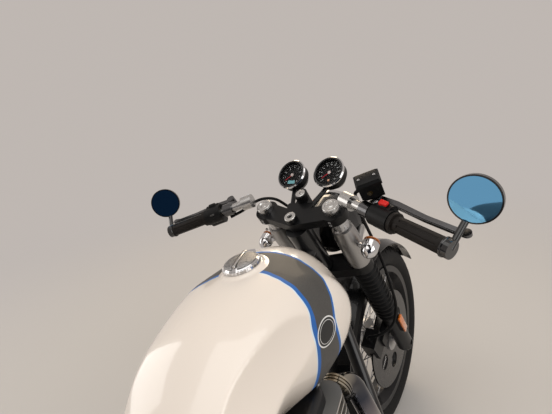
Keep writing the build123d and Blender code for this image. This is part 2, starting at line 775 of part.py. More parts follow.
# Columns: x, base z, top z, half width
seat_sections = [
    (seat_front, seat_base, seat_base + 62, 76),
    (400, seat_base, seat_base + 56, 106),
    (200, seat_base, seat_base + 58, 120),
    (0, seat_base, seat_base + 70, 116),
    (-120, seat_base + 4, seat_base + 112, 96),
    (seat_back, seat_base + 22, seat_base + 104, 60),
]


def seat_section(x, low, high, half):
    """A rounded cross section of the seat."""
    face = RectangleRounded(2 * half, high - low, min(24, (high - low) / 2 - 2))
    return Plane(origin=(x, 0, (low + high) / 2), x_dir=(0, 1, 0), z_dir=(1, 0, 0)) * face


seat = loft([seat_section(*row) for row in seat_sections])
add("seat", seat)

panel_outline = [(374, rail_height - 60, 16), (492, rail_height - 46, 16), (500, 628, 18), (436, 516, 20)]
side_panel = hull_plate(panel_outline, panel_inner, panel_inner + panel_thickness)
side_panel = fillet(side_panel.faces().sort_by(Axis.Y)[-1].edges(), 5)
add("side_panels", pair(side_panel))

guard_radius = rear_tyre_radius + 30
guard_half = 70.0
guard_ring = lathe_y([(guard_radius, guard_half), (guard_radius + 3, guard_half), (guard_radius + 14, 30),
                      (guard_radius + 14, -30), (guard_radius + 3, -guard_half), (guard_radius, -guard_half),
                      (guard_radius + 11, -29), (guard_radius + 11, 29)])
guard_ring = Pos(0, 0, rear_tyre_radius) * guard_ring
keep_top = rear_tyre_radius + 580.4
keep_line = Polyline((0, rear_tyre_radius), (230, keep_top), (-600, keep_top), (-600, rear_tyre_radius + 100.4),
                     close=True)
rear_guard = guard_ring & side_plate(keep_line, -90, 90)
guard_core = Pos(0, 0, rear_tyre_radius) * Rot(90, 0, 0) * Cylinder(guard_radius + 12, 300, align=MID)
guard_bar = block((-75, -104, guard_radius + rear_tyre_radius - 10), (-45, 104, rail_height))
guard_bar = guard_bar - guard_core - seat_rails[0] - seat_rails[1]
guard_bar = guard_bar.solids().sort_by(SortBy.VOLUME)[-1]

lamp_angle = radians(142.76)
lamp_bracket_radius = 16.0
tail_lamp_radius = 32.0
signal_bar_half = 75.0
signal_bar_radius = 6.0
signal_lamp_side = 118.0
signal_lamp_radius = 20.0


def guard_spot(away, side=0.0):
    """A point outside the rear mudguard, in line with the lamps."""
    radius = guard_radius + away
    return (radius * cos(lamp_angle), side, rear_tyre_radius + radius * sin(lamp_angle))


lamp_root = guard_spot(67.45)
lamp_bracket = rod(guard_spot(-10), lamp_root, lamp_bracket_radius) - guard_core
signal_bar = rod(guard_spot(52, -signal_bar_half), guard_spot(52, signal_bar_half), signal_bar_radius)
add("rear_mudguard", rear_guard + guard_bar + lamp_bracket + signal_bar)

bar_room = rod(guard_spot(52, -signal_bar_half), guard_spot(52, signal_bar_half), signal_bar_radius + part_gap)
tail = rod(lamp_root, (lamp_root[0] - 48, 0, lamp_root[2] - 6), tail_lamp_radius)
tail = tail - lamp_bracket - bar_room
signal = rod(guard_spot(52, signal_bar_half + part_gap), guard_spot(52, 104), signal_bar_radius)
signal_x, signal_y, signal_z = guard_spot(52, signal_lamp_side)
signal = signal + rod((signal_x - 20, signal_y, signal_z), (signal_x + 20, signal_y, signal_z), signal_lamp_radius)
add("rear_lamps", [tail] + pair(signal))

# Shock absorbers
shock = rod(shock_low, shock_top, 11)
axis_top = Vector(*shock_top)
axis_low = Vector(*shock_low)
along = (axis_top - axis_low).normalized()
spring_low = axis_low + along * 95
spring_high = axis_top - along * 66
shock = shock + rod(tuple(axis_low + along * 30), tuple(spring_low - along * 8), 21)
shock = shock + rod(tuple(spring_low - along * 8), tuple(spring_low), 31)
shock = shock + rod(tuple(spring_high), tuple(spring_high + along * 8), 31)
shock = shock + rod(tuple(spring_high + along * 8), tuple(axis_top - along * 24), 19)
eye_low = rod((shock_low[0], shock_side - shock_eye_half, shock_low[2]),
              (shock_low[0], shock_side + shock_eye_half, shock_low[2]), 15)
eye_top = rod((shock_top[0], shock_side - shock_eye_half, shock_top[2]),
              (shock_top[0], shock_side + shock_eye_half, shock_top[2]), 15)
shock = shock + eye_low + eye_top
add("shock_absorbers", pair(shock))
spring_radius = 25.0
spring_wire = 4.5
spring_turns = 9


def coil_spring(start, end):
    """A coil between two points on its axis, clear of its seats by the part gap."""
    rise = (end - start).length - 2 * (spring_wire + part_gap)
    path = Helix(rise / spring_turns, rise, spring_radius)
    section = Plane(origin=path @ 0, z_dir=path % 0) * Circle(spring_wire)
    coil = sweep(section, path=path, is_frenet=True)
    return Plane(origin=start, z_dir=end - start).location * Pos(0, 0, spring_wire + part_gap) * coil


add("shock_springs", pair(coil_spring(spring_low, spring_high)))

# Footrests
rest_inner = plate_outer + 24
rest = rod((420, rest_inner, 330), (420, 250, 330), 13)
plate = hull_plate([(420, 330, 24), (445, 395, 18)], rest_inner, rest_inner + 10)
rest = rest + plate + rod((445, plate_outer, 395), (445, rest_inner, 395), 9)
rest = rest + rod((440, plate_outer, 350), (440, rest_inner, 350), 9)
lever_side = rest_inner + 18
gear_lever = rod((424, rest_inner + 5, 298), (424, lever_side, 298), 10)
gear_lever = gear_lever + rod((424, lever_side, 298), (560, lever_side, 286), 6)
gear_lever = gear_lever + rod((560, lever_side - 4, 286), (560, lever_side + 34, 286), 9)
brake_lever = mirrored(gear_lever + rod((424, lever_side, 298), (392, lever_side, 340), 6))
lever_boss = hull_plate([(420, 330, 20), (424, 298, 14)], rest_inner, rest_inner + 10)
left_rest = rest + gear_lever + lever_boss
right_rest = mirrored(rest + lever_boss) + brake_lever
add("footrests", [left_rest, right_rest])

# Yokes
def yoke_wing(side, stem_end, fork_end):
    """The outline of half a yoke, from round the stem to round a fork leg."""
    return oval_hull([(6, 0, stem_end), (fork_offset, side * fork_half_width, fork_end)])


top_yoke = extrude(yoke_wing(1, 22, 25), amount=-top_yoke_thickness)
top_yoke = top_yoke + extrude(yoke_wing(-1, 22, 25), amount=-top_yoke_thickness)
top_yoke = top_yoke + extrude(oval_hull([(8, 0, 20), (50, 30, 8), (50, -30, 8)]), amount=-14)
fork_places = [(fork_offset, fork_half_width), (fork_offset, -fork_half_width)]
for x, y in fork_places:
    top_yoke = top_yoke + Pos(x, y, -top_yoke_thickness) * Cylinder(31, top_yoke_thickness, align=MIN)
    top_yoke = top_yoke - Pos(x, y, -60) * Cylinder(fork_tube_radius + part_gap, 120, align=MIN)
lock = Pos(72, 0, -30) * Cylinder(17, 49, align=MIN)
lock_arm = block((40, -17, -14), (72, 17, 0))
top_yoke = top_yoke + lock + lock_arm
top_yoke = top_yoke - Pos(0, 0, -60) * Cylinder(stem_radius, 60 - 1, align=MIN)
top_yoke = top_yoke + Cylinder(15, 13, align=MIN)

lower_yoke_low = lower_yoke_top - lower_yoke_thickness
lower_place = Pos(0, 0, lower_yoke_low)
lower_yoke = lower_place * extrude(yoke_wing(1, 28, 30), amount=lower_yoke_thickness)
lower_yoke = lower_yoke + lower_place * extrude(yoke_wing(-1, 28, 30), amount=lower_yoke_thickness)
for x, y in fork_places:
    lower_yoke = lower_yoke - Pos(x, y, -300) * Cylinder(fork_tube_radius + part_gap, 200, align=MIN)
stem = Pos(0, 0, lower_yoke_low) * Cylinder(stem_radius, -1 - lower_yoke_low, align=MIN)
add("lower_yoke", lower_yoke + stem, turned)

# Fork legs
clamp_top = -top_yoke_thickness - 2
clamp_low = clamp_top - clip_clamp_height
shroud_top = clamp_low - 4
shroud_low = lower_yoke_top + part_gap
gaiter_top = lower_yoke_low - part_gap
fork_tube = Pos(0, 0, gaiter_bottom - 20) * Cylinder(fork_tube_radius, 15 + 20 - gaiter_bottom, align=MIN)
tubes = [Pos(x, y, 0) * fork_tube for x, y in fork_places]
add("fork_tubes", tubes, turned)

tube_bore = fork_tube_radius + part_gap
shroud = lathe_z([(tube_bore, shroud_low), (30, shroud_low), (29, shroud_top - 30), (25, shroud_top),
                  (tube_bore, shroud_top)])

rib_step = (gaiter_top - gaiter_bottom) / gaiter_ribs
gaiter_profile = [(tube_bore, gaiter_bottom)]
for index in range(gaiter_ribs):
    level = gaiter_bottom + index * rib_step
    gaiter_profile += [(26, level), (33, level + rib_step * 0.35), (33, level + rib_step * 0.65)]
gaiter_profile += [(26, gaiter_top), (tube_bore, gaiter_top)]
gaiter = lathe_z(gaiter_profile)
add("fork_gaiters", [Pos(x, y, 0) * gaiter for x, y in fork_places], turned)

slider_top = gaiter_bottom - part_gap
slider_low = -axle_drop - 30
reflector_out = slider_radius + 5
slider = lathe_z([(0, slider_low), (22, slider_low), (slider_radius, slider_low + 12),
                  (slider_radius, slider_top), (tube_bore, slider_top), (tube_bore, slider_top - 20),
                  (0, slider_top - 20)])
sliders = []
for x, y in fork_places:
    leg = Pos(x, y, 0) * slider
    leg = leg - rod((x, y - 60, -axle_drop), (x, y + 60, -axle_drop), axle_radius + part_gap)
    outer = y + (reflector_out if y > 0 else -reflector_out)
    pad = block((x - 17, min(y, outer), slider_top - 76), (x + 3, max(y, outer), slider_top - 8))
    wall = Pos(x, y, slider_low) * Cylinder(slider_radius - 2, slider_top - slider_low, align=MIN)
    leg = leg + (pad - wall)
    sliders.append(leg)
disc_slot = disc_thickness + 2 * moving_gap
caliper = block((-80, -76, -560), (-20, -34, -490))
slot_ends = [(fork_offset, front_disc_side + half * disc_slot / 2, -axle_drop) for half in (-1, 1)]
caliper = caliper - rod(*slot_ends, front_disc_radius + moving_gap)
caliper = caliper + block((-40, -84, -555), (fork_offset, -66, -515))
caliper = caliper + rod((-60, -58, -500), (-60, -58, -482), 7)
sliders[1] = sliders[1] + caliper
add("fork_sliders", sliders, turned)

# Headlamp
lamp_forward = 140.0
lamp_height = -162.0
lamp_radius = 86.0
lamp_place = Location((lamp_forward, 0, lamp_height), (0, 90 + rake, 0))
shell = lathe_z([(0, -95), (40, -88), (70, -62), (lamp_radius - 6, -20), (lamp_radius - 4, 0), (0, 0)])
lamp_shell = lamp_place * shell
add("headlamp_shell", lamp_shell, turned)
shrouds = []
for x, y in fork_places:
    ear = rod((x + 20, y, lamp_height), (lamp_forward - 14, y * 0.86, lamp_height - 6), 8)
    ear = ear - Pos(x, y, -400) * Cylinder(28, 400, align=MIN) - lamp_shell
    shrouds.append(Pos(x, y, 0) * shroud + ear)
add("fork_shrouds", shrouds, turned)

signal_spot = (12, fork_half_width + 58, -112)
signal_radius = 20.0
signal_body = revolve(Plane.XY * make_face([
    Line((-26, 0), (22, 0)), Line((22, 0), (22, 16)), Line((22, 16), (16, signal_radius)),
    Line((16, signal_radius), (4, signal_radius)), ThreePointArc((4, signal_radius), (-16, 14), (-26, 0)),
]), Axis.X)
indicator = Pos(*signal_spot) * signal_body
stalk = rod((fork_offset - 6, fork_half_width + 20, signal_spot[2]), signal_spot, 6)
stalk = stalk - Pos(fork_offset, fork_half_width, -300) * Cylinder(30 + part_gap, 400, align=MIN)
indicator = indicator + stalk
add("front_indicators", pair(indicator), turned)
rim_bore = lamp_radius - 10
lamp_rim = lathe_z([(rim_bore, part_gap), (lamp_radius, part_gap), (lamp_radius + 2, 10),
                    (lamp_radius - 4, 22), (rim_bore, 22)])
add("headlamp_rim", lamp_place * lamp_rim, turned)
lens_edge = rim_bore - part_gap
lens = lathe_z([(0, part_gap), (lens_edge, part_gap), (lens_edge, 14), (50, 26), (0, 31)])
add("headlamp_lens", lamp_place * lens, turned)

# Instruments
gauge_side = 56.0
gauge_forward = 139.0
gauge_height = 24.0
gauge_radius = 40.0
gauge_tilt = -20.0
cup_wall = gauge_radius - 2
cup_seat = gauge_radius - 5
cups = []
bezels = []
for side in (-1, 1):
    place = Location((gauge_forward, side * gauge_side, gauge_height), (0, gauge_tilt, 0))
    cup = lathe_z([(0, -46), (26, -46), (cup_wall, -26), (cup_wall, -4), (cup_seat, -4), (cup_seat, -8), (0, -8)])
    bezel = lathe_z([(cup_seat, part_gap - 4), (gauge_radius + 1, part_gap - 4), (gauge_radius + 2, 0),
                     (cup_wall, 4), (cup_seat, 3)])
    cups.append(place * cup)
    bezels.append(place * bezel)
for side in (-1, 1):
    top_yoke = top_yoke + rod((46, side * 26, -8), (125, side * 52, -6), 6)
for cup in cups:
    top_yoke = top_yoke - cup
top_yoke = top_yoke.solids().sort_by(SortBy.VOLUME)[-1]
add("top_yoke", top_yoke, turned)
add("gauge_cups", cups, turned)
add("gauge_bezels", bezels, turned)

# Clip-on bars, each with its clamp, arm and tube
bar_radius = 11.0
bar_inner = (42, 132, 28)
bar_end = (-79, 367, 32)
bar_axis = (Vector(*bar_end) - Vector(*bar_inner)).normalized()
bar_length = (Vector(*bar_end) - Vector(*bar_inner)).length


def bar_point(distance):
    """A point on the left bar's axis, measured from its outer end."""
    spot = Vector(*bar_end) - bar_axis * distance
    return (spot.X, spot.Y, spot.Z)


cap_length = 13.0
clamp_wall = 11.0
bar_clamp_length = 30.0
clamp_radius = fork_tube_radius + clamp_wall
clip = Pos(fork_offset, fork_half_width, clamp_low) * Cylinder(clamp_radius, clip_clamp_height, align=MIN)
clamp_spot = Vector(*bar_point(bar_length - bar_clamp_length / 2))
arm_fork = (fork_offset + 4, fork_half_width + 16)
arm_bar = (clamp_spot.X, clamp_spot.Y - 2)
arm_outline = oval_hull([(*arm_fork, 15), (*arm_bar, 13)])
groove_outline = oval_hull([(*arm_fork, 11), (*arm_bar, 9.5)])
groove_width = 4.5
groove_pitch = 9.0
arm = Pos(0, 0, clamp_low) * extrude(arm_outline, amount=clip_clamp_height)
riser = Pos(*arm_bar, clamp_low) * Cylinder(13, clamp_spot.Z - clamp_low, align=MIN)
clip = clip + arm + riser
for groove in range(3):
    level = Pos(0, 0, clamp_low + 5 + groove * groove_pitch)
    clip = clip - level * extrude(arm_outline, amount=groove_width)
    clip = clip + level * extrude(groove_outline, amount=groove_width)
clamp_core = Cylinder(clamp_radius - 3, clip_clamp_height, align=MIN)
clip = clip + Pos(fork_offset, fork_half_width, clamp_low) * clamp_core
clip = clip + rod(bar_point(bar_length), bar_point(bar_length - bar_clamp_length), 18)
clip = clip + rod(bar_point(bar_length), bar_point(cap_length), bar_radius)
clip = clip - Pos(fork_offset, fork_half_width, -300) * Cylinder(fork_tube_radius + part_gap, 400, align=MIN)
clip = clip - Pos(fork_offset, fork_half_width, clamp_top) * Cylinder(clamp_radius + 1, 60, align=MIN)
clip = clip.solids().sort_by(SortBy.VOLUME)[-1]
add("clip_ons", pair(clip), turned)

grip_radius = 16.0
grip_end = 124.0
pod_end = 172.0
perch_start = 180.0
perch_end = 204.0
bar_hole = rod(bar_point(-40), bar_point(bar_length - bar_clamp_length), bar_radius + part_gap)
grip = rod(bar_point(cap_length), bar_point(grip_end - 8), grip_radius)
grip = grip + rod(bar_point(grip_end - 8), bar_point(grip_end), grip_radius + 5)
flute_count = 8
flute_start = Plane(origin=bar_point(cap_length + 10), z_dir=-bar_axis).location
flute_cut = Pos(grip_radius + 1.2, 0, 0) * Cylinder(3, grip_end - cap_length - 30, align=MIN)
for flute in range(flute_count):
    grip = grip - flute_start * Rot(0, 0, flute * 360 / flute_count) * flute_cut
add("grips", pair(grip - bar_hole), turned)

# Columns: distances from the bar's end, offset forward, offset up, radius
pod_parts = [
    (grip_end + 1, pod_end, 0, 0, 23),
    (grip_end + 5, pod_end - 4, 2, -14, 19),
    (grip_end + 8, pod_end - 8, 12, 8, 15),
]
pod_forward = Vector(bar_axis.Y, -bar_axis.X, 0).normalized()
pod = None
for start, end, ahead, above, radius in pod_parts:
    move = pod_forward * ahead + Vector(0, 0, above)
    lobe = rod(tuple(Vector(*bar_point(start)) + move), tuple(Vector(*bar_point(end)) + move), radius)
    pod = lobe if pod is None else pod + lobe
rocker_low = Vector(*bar_point(pod_end - 30)) + pod_forward * 14 + Vector(0, 0, 20)
pod = pod + rod(tuple(rocker_low), tuple(rocker_low - bar_axis * 16), 7)
add("switchgear", pair(pod - bar_hole), turned)

# Brake and clutch levers: a perch, a boss and a blade with a ball end
lever_reach = 37.0


def lever_point(distance, ahead=0.0, above=-4.0):
    """A point on the lever's line beside the bar."""
    return tuple(Vector(*bar_point(distance)) + pod_forward * (lever_reach + ahead) + Vector(0, 0, above))


# Columns: distance from the bar's end, further forward, half width of the blade
lever_stations = [(196, -2, 9.0), (150, 3, 7.0), (80, 0, 6.0), (22, 2, 6.0), (4, 6, 8.0)]
# Columns: half height of a layer of the blade, how much narrower it is
lever_layers = [(3.5, 0), (5.0, 1.5)]
lever_level = bar_point(100)[2] - 4
lever = None
for half_height, inset in lever_layers:
    for start, end in zip(lever_stations, lever_stations[1:]):
        ends = [(*lever_point(station[0], station[1])[:2], station[2] - inset) for station in (start, end)]
        blade = Pos(0, 0, lever_level - half_height) * extrude(oval_hull(ends), amount=2 * half_height)
        lever = blade if lever is None else lever + blade
perch = rod(bar_point(perch_start), bar_point(perch_end), 17)
perch = perch + rod(bar_point(perch_start + 12), lever_point(196, -2), 10)
perch = perch + rod(lever_point(196, -2, -12), lever_point(196, -2, 8), 11)
add("hand_levers", pair(lever + perch - bar_hole), turned)

# Brake reservoir with its master cylinder, on the right perch
tank_turn = -27.0
reservoir_place = Location((48, 200, 56), (0, 0, tank_turn))
reservoir = reservoir_place * Box(36, 46, 34, align=MID)
reservoir = reservoir + reservoir_place * Pos(0, 0, 17) * chamfer(
    Box(42, 52, 9, align=MIN).edges().group_by(Axis.Z)[-1], 4)
reservoir = reservoir + rod((48, 200, 42), lever_point(192, 12, 8), 11)
reservoir = reservoir - rod(lever_point(196, -2, -30), lever_point(196, -2, 9), 11 + part_gap)
reservoir = reservoir - rod(lever_point(204, -2, -4), lever_point(150, 3, -4), 10 + part_gap)
reservoir = reservoir - rod(bar_point(perch_start - 20), bar_point(perch_end + 20), 17 + part_gap) - clip
reservoir = reservoir - rod(bar_point(perch_start + 12), lever_point(196, -2), 10 + part_gap)
reservoir = reservoir.solids().sort_by(SortBy.VOLUME)[-1]
add("brake_reservoir", mirrored(reservoir), turned)

# Mirrors: a bar-end cap, an arm and a round head, each head turned to the rider
mirror_radius = 41.0
mirror_depth = 13.0
glass_depth = 2.0
mirror_wall = 2.5
mirror_arm_radius = 6.0
bar_cap_radius = 17.0
# Columns: side, head centre, the way its glass faces
mirror_table = [(1, (-17, 398, 84), (-0.62, -0.64, 0.45)), (-1, (-17, -398, 84), (-0.85, 0.12, 0.5))]
mirror_solids = []
mirror_glasses = []


def sided_bar_point(distance, side):
    """A point on the left bar's axis, or its mirror image on the right."""
    x, y, z = bar_point(distance)
    return (x, side * y, z)


for side, centre, facing in mirror_table:
    normal = Vector(*facing).normalized()
    face_place = Plane(origin=centre, z_dir=normal).location
    head = face_place * Pos(0, 0, -mirror_depth) * Cylinder(mirror_radius, mirror_depth, align=MIN)
    head = chamfer(head.edges().sort_by(lambda edge: edge.center().dot(normal))[:1], 5)
    head = head - face_place * Pos(0, 0, -glass_depth) * Cylinder(mirror_radius - mirror_wall, 10, align=MIN)
    cap = rod(sided_bar_point(cap_length - part_gap, side), sided_bar_point(0, side), bar_cap_radius)
    foot = Vector(*sided_bar_point(4, side))
    across = foot - Vector(*centre)
    radial = (across - normal * across.dot(normal)).normalized()
    hold = Vector(*centre) - normal * mirror_depth / 2 + radial * (mirror_radius - mirror_arm_radius)
    recess = face_place * Pos(0, 0, -glass_depth) * Cylinder(mirror_radius - mirror_wall, 60, align=MIN)
    arm = rod(tuple(foot), tuple(hold), mirror_arm_radius) - recess
    mirror_solids.append(head + cap + arm)
    mirror_glasses.append(face_place * Pos(0, 0, part_gap - glass_depth) * Cylinder(
        mirror_radius - mirror_wall - part_gap, glass_depth, align=MIN))
add("mirrors", mirror_solids, turned)
add("mirror_glass", mirror_glasses, turned)

# Control cables on the steering: a loom on each side into the lamp shell, and the brake hose
cable_radius = 4.0
left_loom = [(0, 200, 8), (34, 170, 2), (68, 140, 6), (90, 108, -14), (96, 84, -60), (88, 60, -112)]
right_loom = [(0, -200, 8), (34, -170, -4), (68, -140, -4), (90, -108, -24), (96, -84, -66), (88, -60, -114)]
hose = [(60, -178, 36), (66, -150, 26), (76, -132, -30), (80, -128, -110), (76, -132, -190), (50, -142, -290),
        (20, -146, -390), (-20, -134, -436), (-52, -96, -450), (-60, -58, -462), (-60, -58, -481.7)]


def cable(points, radius):
    """A cable through points, each corner rounded as widely as its runs allow."""
    spots = [Vector(*point) for point in points]
    bends = []
    for before, here, after in zip(spots, spots[1:], spots[2:]):
        turn = radians((here - before).get_angle(after - here))
        run = min((here - before).length, (after - here).length)
        bends.append(0.45 * run * cos(turn / 2) / sin(turn / 2))
    return bent_tube(points, bends, radius)


loom_left = cable(left_loom, cable_radius) - lamp_shell
loom_right = cable(right_loom, cable_radius) - lamp_shell
add("control_cables", [loom_left, loom_right, cable(hose, cable_radius)], turned)

# Front mudguard
blade_radius = front_tyre_radius + 8
blade_half = 60.0
blade_crown = blade_radius + 8
blade_edge = blade_radius - 5
blade_wall = 3.0
blade = lathe_y([
    (blade_edge - blade_wall, blade_half), (blade_edge, blade_half), (blade_crown, 28), (blade_crown, -28),
    (blade_edge, -blade_half), (blade_edge - blade_wall, -blade_half), (blade_crown - blade_wall, -27),
    (blade_crown - blade_wall, 27),
])
blade_keep = side_plate(Polyline((0, 0), (600, 20), (600, 600), (-600, 600), (-600, 60), close=True), -90, 90)
front_guard = blade & blade_keep
for side in (-1, 1):
    low_y = min(side * 58, side * 64)
    stay = hull_plate([(0, blade_radius + 2, 14), (0, 174, 10)], low_y, low_y + 6)
    stay = stay + rod((0, side * 60, 176), (0, side * 76, 176), 9)
    stay = stay - Pos(0, side * fork_half_width, 0) * Cylinder(slider_radius, 600, align=MID)
    front_guard = front_guard + stay
add("front_mudguard", front_guard, front_wheel_place)

# Side stand
stand_pivot = Vector(600, cradle_side, cradle_height - cradle_radius - 20)
foot_x = 640.0
foot_y = 240.0
foot_thickness = 8.0
stand_radius = 10.0
stand_pin_radius = 6.0


def lowest(up, centre, axle, radius, crown):
    """The height, along an up direction, of the lowest point of a round-crowned tyre."""
    tilt = up.dot(axle)
    return up.dot(centre) - (radius - crown) * sqrt(1 - tilt * tilt) - crown


front_centre = front_wheel_place.position
front_axle_line = (front_wheel_place * Pos(0, 1, 0)).position - front_centre
rear_centre = rear_wheel_place.position
rear_axle_line = Vector(0, 1, 0)
pitch = 0.0
for step in range(30):
    ground_up = Vector(sin(pitch), -sin(radians(lean)) * cos(pitch), cos(radians(lean)) * cos(pitch))
    front_low = lowest(ground_up, front_centre, front_axle_line, front_tyre_radius, front_crown)
    rear_low = lowest(ground_up, rear_centre, rear_axle_line, rear_tyre_radius, rear_crown)
    pitch = pitch - (front_low - rear_low) / wheelbase
ground_level = rear_low
foot_z = (ground_level - ground_up.X * foot_x - ground_up.Y * foot_y) / ground_up.Z
foot_point = Vector(foot_x, foot_y, foot_z)
foot_top = foot_point + ground_up * foot_thickness
pad = Plane(origin=foot_point, x_dir=(1, 0, 0), z_dir=ground_up).location * extrude(
    RectangleRounded(70, 44, 20), amount=foot_thickness)
leg = rod(tuple(stand_pivot), tuple(foot_top), stand_radius)
leg_line = (foot_top - stand_pivot).normalized()
folded_line = Vector(-0.99, 0.12, -0.03).normalized()
stand_axis = leg_line.cross(folded_line).normalized()
stand_fold = leg_line.get_angle(folded_line)
eye = Plane(origin=stand_pivot - stand_axis * 8, z_dir=stand_axis).location * Cylinder(16, 16, align=MIN)
hole = Plane(origin=stand_pivot - stand_axis * 20, z_dir=stand_axis).location * Cylinder(
    stand_pin_radius + running_gap, 40, align=MIN)
add("side_stand", leg + eye + pad - hole)

# Stand bracket with its pin, on the left lower rail
pin_place = Plane(origin=stand_pivot - stand_axis * 16, z_dir=stand_axis).location
pin = pin_place * Cylinder(stand_pin_radius, 28, align=MIN)
ear_place = Plane(origin=stand_pivot - stand_axis * 16, x_dir=Vector(1, 0, 0) - stand_axis * stand_axis.X,
                  z_dir=stand_axis)
rail_spot = ear_place.to_local_coords(Vector(600, cradle_side, cradle_height))
ear = ear_place.location * extrude(oval_hull([(0, 0, 13), (rail_spot.X - 24, rail_spot.Y, 8),
                                              (rail_spot.X + 24, rail_spot.Y, 8)]), amount=6)
bracket = pin + ear - cradles[0] - crankcase
bracket = bracket.solids().sort_by(SortBy.VOLUME)[-1]
add("stand_bracket", bracket)

# Leaning over onto the floor, then centring the machine over its origin
level_forward = Vector(1, 0, 0) - ground_up * ground_up.X
to_floor = Plane(origin=ground_up * ground_level, x_dir=level_forward, z_dir=ground_up)
lay = to_floor.location.inverse()
standing = {name: [solid.moved(lay) for solid in solids] for name, solids in nodes.items()}
box = Compound([solid for solids in standing.values() for solid in solids]).bounding_box()
shift = Location((-(box.min.X + box.max.X) / 2, -(box.min.Y + box.max.Y) / 2, -box.min.Z))
for name, solids in standing.items():
    moved = [solid.moved(shift) for solid in solids]
    export_step(Compound(children=moved) if len(moved) > 1 else moved[0], f"parts/{name}.step")
    print(name, len(moved))


def row_point(point):
    """A point of the upright machine in the finished part's frame, in metres."""
    spot = (shift * lay * Location(tuple(point))).position
    return [round(value / 1000, 6) for value in spot]


def row_direction(direction):
    """A direction of the upright machine in the finished part's frame."""
    start = (lay * Location((0, 0, 0))).position
    end = (lay * Location(tuple(direction))).position
    return [round(value, 6) for value in (end - start).normalized()]


print("size", box.size)
print("steering", row_point(steering_plane.origin), row_direction(up_axis))
print("front wheel", row_point(front_centre), row_direction(front_axle_line))
print("rear wheel", row_point(rear_centre), row_direction(rear_axle_line))
print("stand", row_point(stand_pivot), row_direction(stand_axis), round(stand_fold, 2))
print("lid", row_point((hinge_x, 0, hinge_z)), row_direction((0, 1, 0)))
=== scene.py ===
# %% [markdown]
# # A cafe racer motorcycle, dressed
#
# The machine comes from its CAD model as a set of plain meshes, each at its true place and size, in
# metres. This lesson gives every one of them a finish, adds the pieces that a drawing office leaves to
# the workshop (paint lines, dial faces, tread, screws, seams), and photographs the whole.
# The machine leans on its side stand, so all of it is tilted about 12 degrees from upright.

# %% Load the model
import json
from math import cos, pi, radians, sin, sqrt

import bpy
from mathutils import Matrix, Vector


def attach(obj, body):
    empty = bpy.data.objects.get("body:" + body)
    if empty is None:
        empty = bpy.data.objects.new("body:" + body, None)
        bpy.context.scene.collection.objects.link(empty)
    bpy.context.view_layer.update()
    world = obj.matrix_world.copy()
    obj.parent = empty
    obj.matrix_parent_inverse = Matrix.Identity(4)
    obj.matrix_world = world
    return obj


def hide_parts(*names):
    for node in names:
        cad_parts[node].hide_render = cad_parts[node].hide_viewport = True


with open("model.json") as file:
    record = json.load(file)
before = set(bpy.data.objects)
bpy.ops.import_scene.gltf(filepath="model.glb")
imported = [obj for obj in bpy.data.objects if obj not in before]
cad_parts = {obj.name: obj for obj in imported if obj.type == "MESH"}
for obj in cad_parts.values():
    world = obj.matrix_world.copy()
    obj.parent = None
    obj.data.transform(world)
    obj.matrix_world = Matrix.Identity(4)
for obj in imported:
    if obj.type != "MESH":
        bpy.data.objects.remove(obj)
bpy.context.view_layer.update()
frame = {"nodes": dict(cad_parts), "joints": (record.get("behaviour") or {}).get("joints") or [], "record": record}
nodes = frame["nodes"]
bpy.ops.object.select_all(action="DESELECT")

# %% [markdown]
# ## Two frames to work in
#
# Nothing on a leaning machine is level, so numbers read off it in room coordinates mean little. It is
# easier to think of it upright: x forward from the rear axle, y to the left, z up from the ground, in
# millimetres. The bars turn about the steering axis, so what they carry has a frame of its own: u
# forward, v left, w up the axis from the top yoke. Both are worked out from the joints of the model.

# %% The upright frame and the steering frame
joints = {joint["name"]: joint for joint in frame["joints"]}
RAKE = radians(24.0)
BARS_TURNED = radians(-13.0)
AXLE_HEIGHT = 319.6

steer_up = Vector(joints["steering"]["axis"]).normalized()
left = Vector(joints["rear_wheel_spin"]["axis"]).normalized()
steer_forward = left.cross(steer_up)
forward = steer_forward * cos(RAKE) - steer_up * sin(RAKE)
upright = steer_forward * sin(RAKE) + steer_up * cos(RAKE)
origin = Vector(joints["rear_wheel_spin"]["pos_m"]) - upright * AXLE_HEIGHT / 1000
yoke_spot = Vector(joints["steering"]["pos_m"])
bar_forward = steer_forward * cos(BARS_TURNED) + left * sin(BARS_TURNED)
bar_left = left * cos(BARS_TURNED) - steer_forward * sin(BARS_TURNED)


def machine(x, y, z):
    """A point of the upright machine, from millimetres to the room's metres."""
    return origin + (forward * x + left * y + upright * z) / 1000


def axes_matrix(x_axis, y_axis, z_axis, spot):
    """The transform that carries a piece modelled at the origin to its place."""
    turn = Matrix((x_axis, y_axis, z_axis)).transposed().to_4x4()
    return Matrix.Translation(spot) @ turn


machine_frame = axes_matrix(forward, left, upright, origin)
bars_frame = axes_matrix(bar_forward, bar_left, steer_up, yoke_spot)
print("upright", [round(v, 3) for v in upright], "yoke", [round(v, 3) for v in yoke_spot])

# %% [markdown]
# ## The camera
#
# The picture was taken from beside the seat, at chest height, with a wide lens, looking forward and
# down over the tank, with the camera tipped to its right. Its place is given in the upright frame, so it
# leans with the machine, and its three angles turn the forward direction to the left, down and over.

# %% Place the camera
CAMERA_SPOT = (378.1, -382.7, 1180.2)
CAMERA_YAW = radians(29.6)
CAMERA_PITCH = radians(15.8)
CAMERA_ROLL = radians(-19.8)
LENS_MM = 23.55
SENSOR_MM = 36.0
NEAREST_SEEN = 0.02


def camera_axes():
    """The camera's right, up and back directions in the room."""
    level = forward * cos(CAMERA_YAW) + left * sin(CAMERA_YAW)
    view = level * cos(CAMERA_PITCH) - upright * sin(CAMERA_PITCH)
    right = forward * sin(CAMERA_YAW) - left * cos(CAMERA_YAW)
    up = right.cross(view)
    turned_right = right * cos(CAMERA_ROLL) + up * sin(CAMERA_ROLL)
    turned_up = up * cos(CAMERA_ROLL) - right * sin(CAMERA_ROLL)
    return turned_right, turned_up, -view


